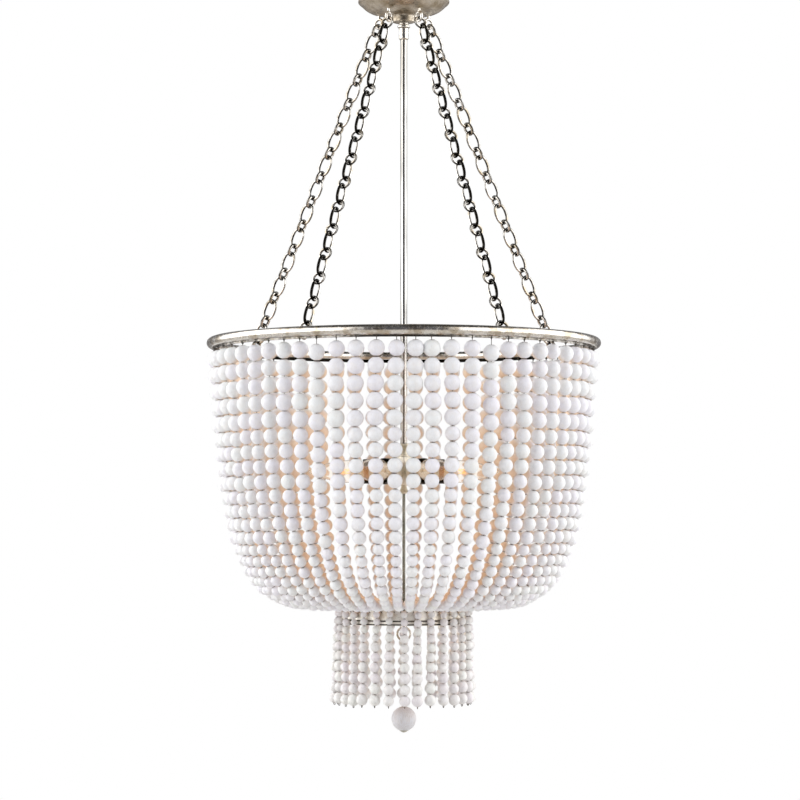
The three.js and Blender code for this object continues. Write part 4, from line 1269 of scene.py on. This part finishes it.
def build_tassels():
    """Two strings of growing beads on one wire over the band's edge. Each string ends in a small
    turned-up loop."""
    pitch = 360 / TASSEL_PAIRS / 2
    seat_r = LOWER_HOOP_D / 2 - LOWER_HOOP_WALL / 2
    on_edge, over_edge = TASSEL_WIRE_LIFTS
    up = np.array([0, 0, MM])
    for i in range(TASSEL_PAIRS):
        strings, wires, tops = [], [], []
        for azimuth in (-90 + 2 * i * pitch, -90 + (2 * i + 1) * pitch):
            out, side, _ = turn_z(azimuth).T
            points, ways, sizes = tassel_string(azimuth)
            strings.append((points, ways, sizes))
            head = points[0] + TASSEL_WIRE_RISE * up
            wires.append(tube(np.vstack([head, points]), side, STRAND_WIRE_D, 6))
            tip = points[-1] - (sizes[-1] / BEAD_FIT / 2 + KNOT_DROP) * up
            knot = loop_path(*KNOT_SIZE, (0, 0, 1), out, tip, 2.0, 10)
            wires.append(tube(knot, np.cross((0, 0, 1), out), STRAND_WIRE_D, 6, True))
            tops.append((head, polar(seat_r, azimuth, -TASSEL_TOP + over_edge)))
        path = resampled([tops[0][0], tops[0][1], tops[1][1], tops[1][0]], 22)
        path[:, 2] = np.maximum(path[:, 2], (-TASSEL_TOP + on_edge) * MM)
        wires.append(tube(path, (0, 0, 1), STRAND_WIRE_D, 6))
        label = f"{i + 1:02d}"
        strung(f"tassel_beads_{label}", strings, wires, [f"tassel_pair_{label}"], tassel_lacquer,
               f"tassel_{label}", 0.0)


def build_finial():
    """The loop nut is a ring under a turned neck. The pin has a small eye, and the ball is a turned ball
    drilled through, with a pointed button under it."""
    bore_r, neck_r = ROD_D / 2 + GAP, LOOP_NECK_D / 2
    neck_low = LOOP_TOP - LOOP_NECK_HEIGHT
    neck = turned_ring([
        [bore_r, LOOP_TOP], [bore_r, neck_low], [neck_r, neck_low], [neck_r, LOOP_TOP - LOOP_NECK_EDGE],
        [neck_r, LOOP_TOP],
    ], 40, 0.6)
    path = loop_path(LOOP_D / 2, LOOP_D / 2, (1, 0, 0), (0, 0, 1), (0, 0, LOOP_CENTRE * MM), 2.0, 56)
    loop = tube(path, (0, -1, 0), LOOP_WIRE_D, 14, True)
    piece("rod_loop_ring", [(neck, 0), (loop, 0)], [leaf_hoop], "root", ["rod_loop"])

    pin_r, eye_r, ball_r, button_r = PIN_WIRE_D / 2, PIN_EYE_D / 2, FINIAL_D / 2, BUTTON_D / 2
    eye_centre = PIN_PIVOT - (eye_r - pin_r - LOOP_WIRE_D / 2 - GAP)
    eye_path = loop_path(eye_r, eye_r, (0, 1, 0), (0, 0, 1), (0, 0, eye_centre * MM), 2.0, 32)
    eye = tube(eye_path, (1, 0, 0), PIN_WIRE_D, 10, True)
    ball_bottom = FINIAL_CENTRE - ball_r
    shank_low, shank_high = ball_bottom - PIN_REACH, eye_centre - eye_r + PIN_EYE_SINK
    shank = turned([[0, shank_low], [pin_r, shank_low], [pin_r, shank_high], [0, shank_high]], 20, 0)
    button_top = ball_bottom - GAP
    rim_high = button_top + BUTTON_RISE
    in_share, down_share = BUTTON_SHARES
    button = turned([
        [0, button_top - BUTTON_HEIGHT], [button_r * in_share, button_top - BUTTON_HEIGHT * down_share],
        [button_r, rim_high - BUTTON_EDGE], [button_r, rim_high], [0, ball_bottom],
    ], 32, 0.3)
    skins = [(eye, 0), (shank, 0), (button, 0)]
    values = {"toning_and_painted_shade": np.repeat([0, 0, BUTTON_WASH], [len(shape[0]) for shape, _ in skins])}
    piece("finial_pin_wire", skins, [leaf_hub], "finial", ["finial_pin"], values=values)

    t = np.radians(np.linspace(FINIAL_HOLE_ANGLE, 180 - FINIAL_HOLE_ANGLE, 40))
    hole_r, dimple = pin_r + GAP, ball_r * FINIAL_DIMPLE_SHARE
    profile = np.vstack([np.stack([np.sin(t), np.cos(t)], 1) * ball_r, [[hole_r, -dimple], [hole_r, dimple]]])
    ball = turned_ring(offset(profile, 0, FINIAL_CENTRE), 72, 0)
    own = (ball[0] - (0, 0, FINIAL_CENTRE * MM)) / (ball_r * MM)
    piece("finial_ball_turned", [(ball, 0)], [ball_lacquer], "finial", ["finial_ball"], own,
          values={"bead_tint": np.full(len(ball[0]), FINIAL_TINT)})


# Studio


def studio_piece(name, shape, material):
    """A piece of the studio, which isn't part of the chandelier."""
    made = bpy.data.objects.new(name, mesh_from(name, [(shape, 0)]))
    made.data.materials.append(material)
    bpy.context.scene.collection.objects.link(made)
    return made


def build_floor():
    """A plain pale floor well below the lamp, and a white surround that only the camera sees."""
    pale = bpy.data.materials.new("pale_matt_floor")
    tree = new_tree(pale)
    place = add(tree, "TexCoord", output="Object")
    grit = add(tree, "TexNoise", {"Vector": place, "Scale": 1 / (60 * MM), "Detail": 3.0, "Roughness": 0.55})
    surface(tree, {"Base Color": coat(tree, linear("#F1EEEA"), linear("#EAE6E1"), grit), "Roughness": 0.8})
    t = np.linspace(0, 2 * np.pi, 96, endpoint=False)
    height = cad_box[0][2] - FLOOR_DROP
    in_by, down_by = FLOOR_CHAMFER
    radius = np.array([[FLOOR_RADIUS], [FLOOR_RADIUS], [FLOOR_RADIUS - in_by]])
    level = np.array([[height - FLOOR_THICKNESS], [height - down_by], [height]])
    disc = np.stack(np.broadcast_arrays(radius * np.cos(t), radius * np.sin(t), level), -1)
    floor = studio_piece("floor", skin(disc), pale)

    white = bpy.data.materials.new("white_surround")
    tree = new_tree(white)
    add(tree, "OutputMaterial", {"Surface": add(tree, "Emission", {"Color": (1, 1, 1, 1), "Strength": 1.0})})
    t = np.linspace(0, np.pi, 33)
    dome = np.stack([np.sin(t), np.cos(t)], 1) * SURROUND_RADIUS / MM
    surround = studio_piece("surround", turned(dome, 64, 0), white)
    for ray in ("diffuse", "glossy", "volume_scatter", "shadow"):
        setattr(surround, f"visible_{ray}", False)


def build_light():
    """Soft light from two broad white walls at the sides. It is darker straight behind the camera,
    overhead and below, as in a small studio, and the lamps add their own warm light inside the basket."""
    world = bpy.data.worlds.new("studio")
    bpy.context.scene.world = world
    tree = new_tree(world)
    way = add(tree, "TexCoord", output="Generated")
    level = add(tree, "VectorMath", {0: way, 1: (1, 1, 0)}, operation="MULTIPLY")
    level = add(tree, "VectorMath", {0: level}, operation="NORMALIZE")
    front = add(tree, "VectorMath", {0: level, 1: (0, -1, 0)}, "Value", operation="DOT_PRODUCT")
    height = add(tree, "SeparateXYZ", {"Vector": way}, "Z")
    beside, behind, under, over = (
        add(tree, "MapRange", {"Value": value, 1: span[0], 2: span[1], 3: 0.0, 4: 1.0}, clamp=True)
        for value, span in ((front, BESIDE), (front, BEHIND), (height, ABOVE_FLOOR), (height, BELOW_CEILING))
    )
    wall = beside
    for share in (behind, under, over):
        wall = add(tree, "Math", {0: wall, 1: share}, operation="MULTIPLY")
    back_or_front = coat(tree, BACK_LIGHT, FRONT_LIGHT, front, *BACK_TO_FRONT)
    with_floor = coat(tree, FLOOR_LIGHT, back_or_front, under)
    with_ceiling = coat(tree, CEILING_LIGHT, with_floor, over)
    light = coat(tree, with_ceiling, WALL_LIGHT, wall)
    background = add(tree, "Background", {"Color": light, "Strength": 1.0})
    add(tree, "OutputWorld", {"Surface": background})

    for i in range(LAMPS):
        lamp = bpy.data.lights.new(f"lamp_glow_{i + 1}", "POINT")
        lamp.color = linear("#FFB878")[:3]
        lamp.energy = LAMP_GLOW
        lamp.shadow_soft_size = LAMP_GLOW_SIZE
        holder = bpy.data.objects.new(f"lamp_glow_{i + 1}", lamp)
        holder.location = polar(GLOW_RADIUS, 360 * (i + 0.5) / LAMPS, -LAMP_DROP)
        for ray in ("camera", "glossy", "transmission"):
            setattr(holder, f"visible_{ray}", False)
        bpy.context.scene.collection.objects.link(holder)


def build_camera():
    """The photograph's camera: about 4.1 m away, below the middle of the lamp and pitched up a little."""
    camera = bpy.data.objects.new("camera", bpy.data.cameras.new("camera"))
    camera.data.lens = CAMERA_LENS
    camera.data.sensor_width = CAMERA_SENSOR
    camera.data.clip_end = CAMERA_REACH
    camera.location = CAMERA_PLACE
    camera.rotation_euler = (math.radians(90 + CAMERA_PITCH), 0, 0)
    bpy.context.scene.collection.objects.link(camera)
    bpy.context.scene.camera = camera


finish_crossbar()
build_canopy()
build_stem()
build_chains()
build_canopy_eyes()
build_top_hoop()
build_basket()
build_hub()
build_lamps()
build_lower_hoop()
build_tassels()
build_finial()
build_floor()
build_light()
build_camera()
bpy.context.scene.view_settings.view_transform = "Standard"
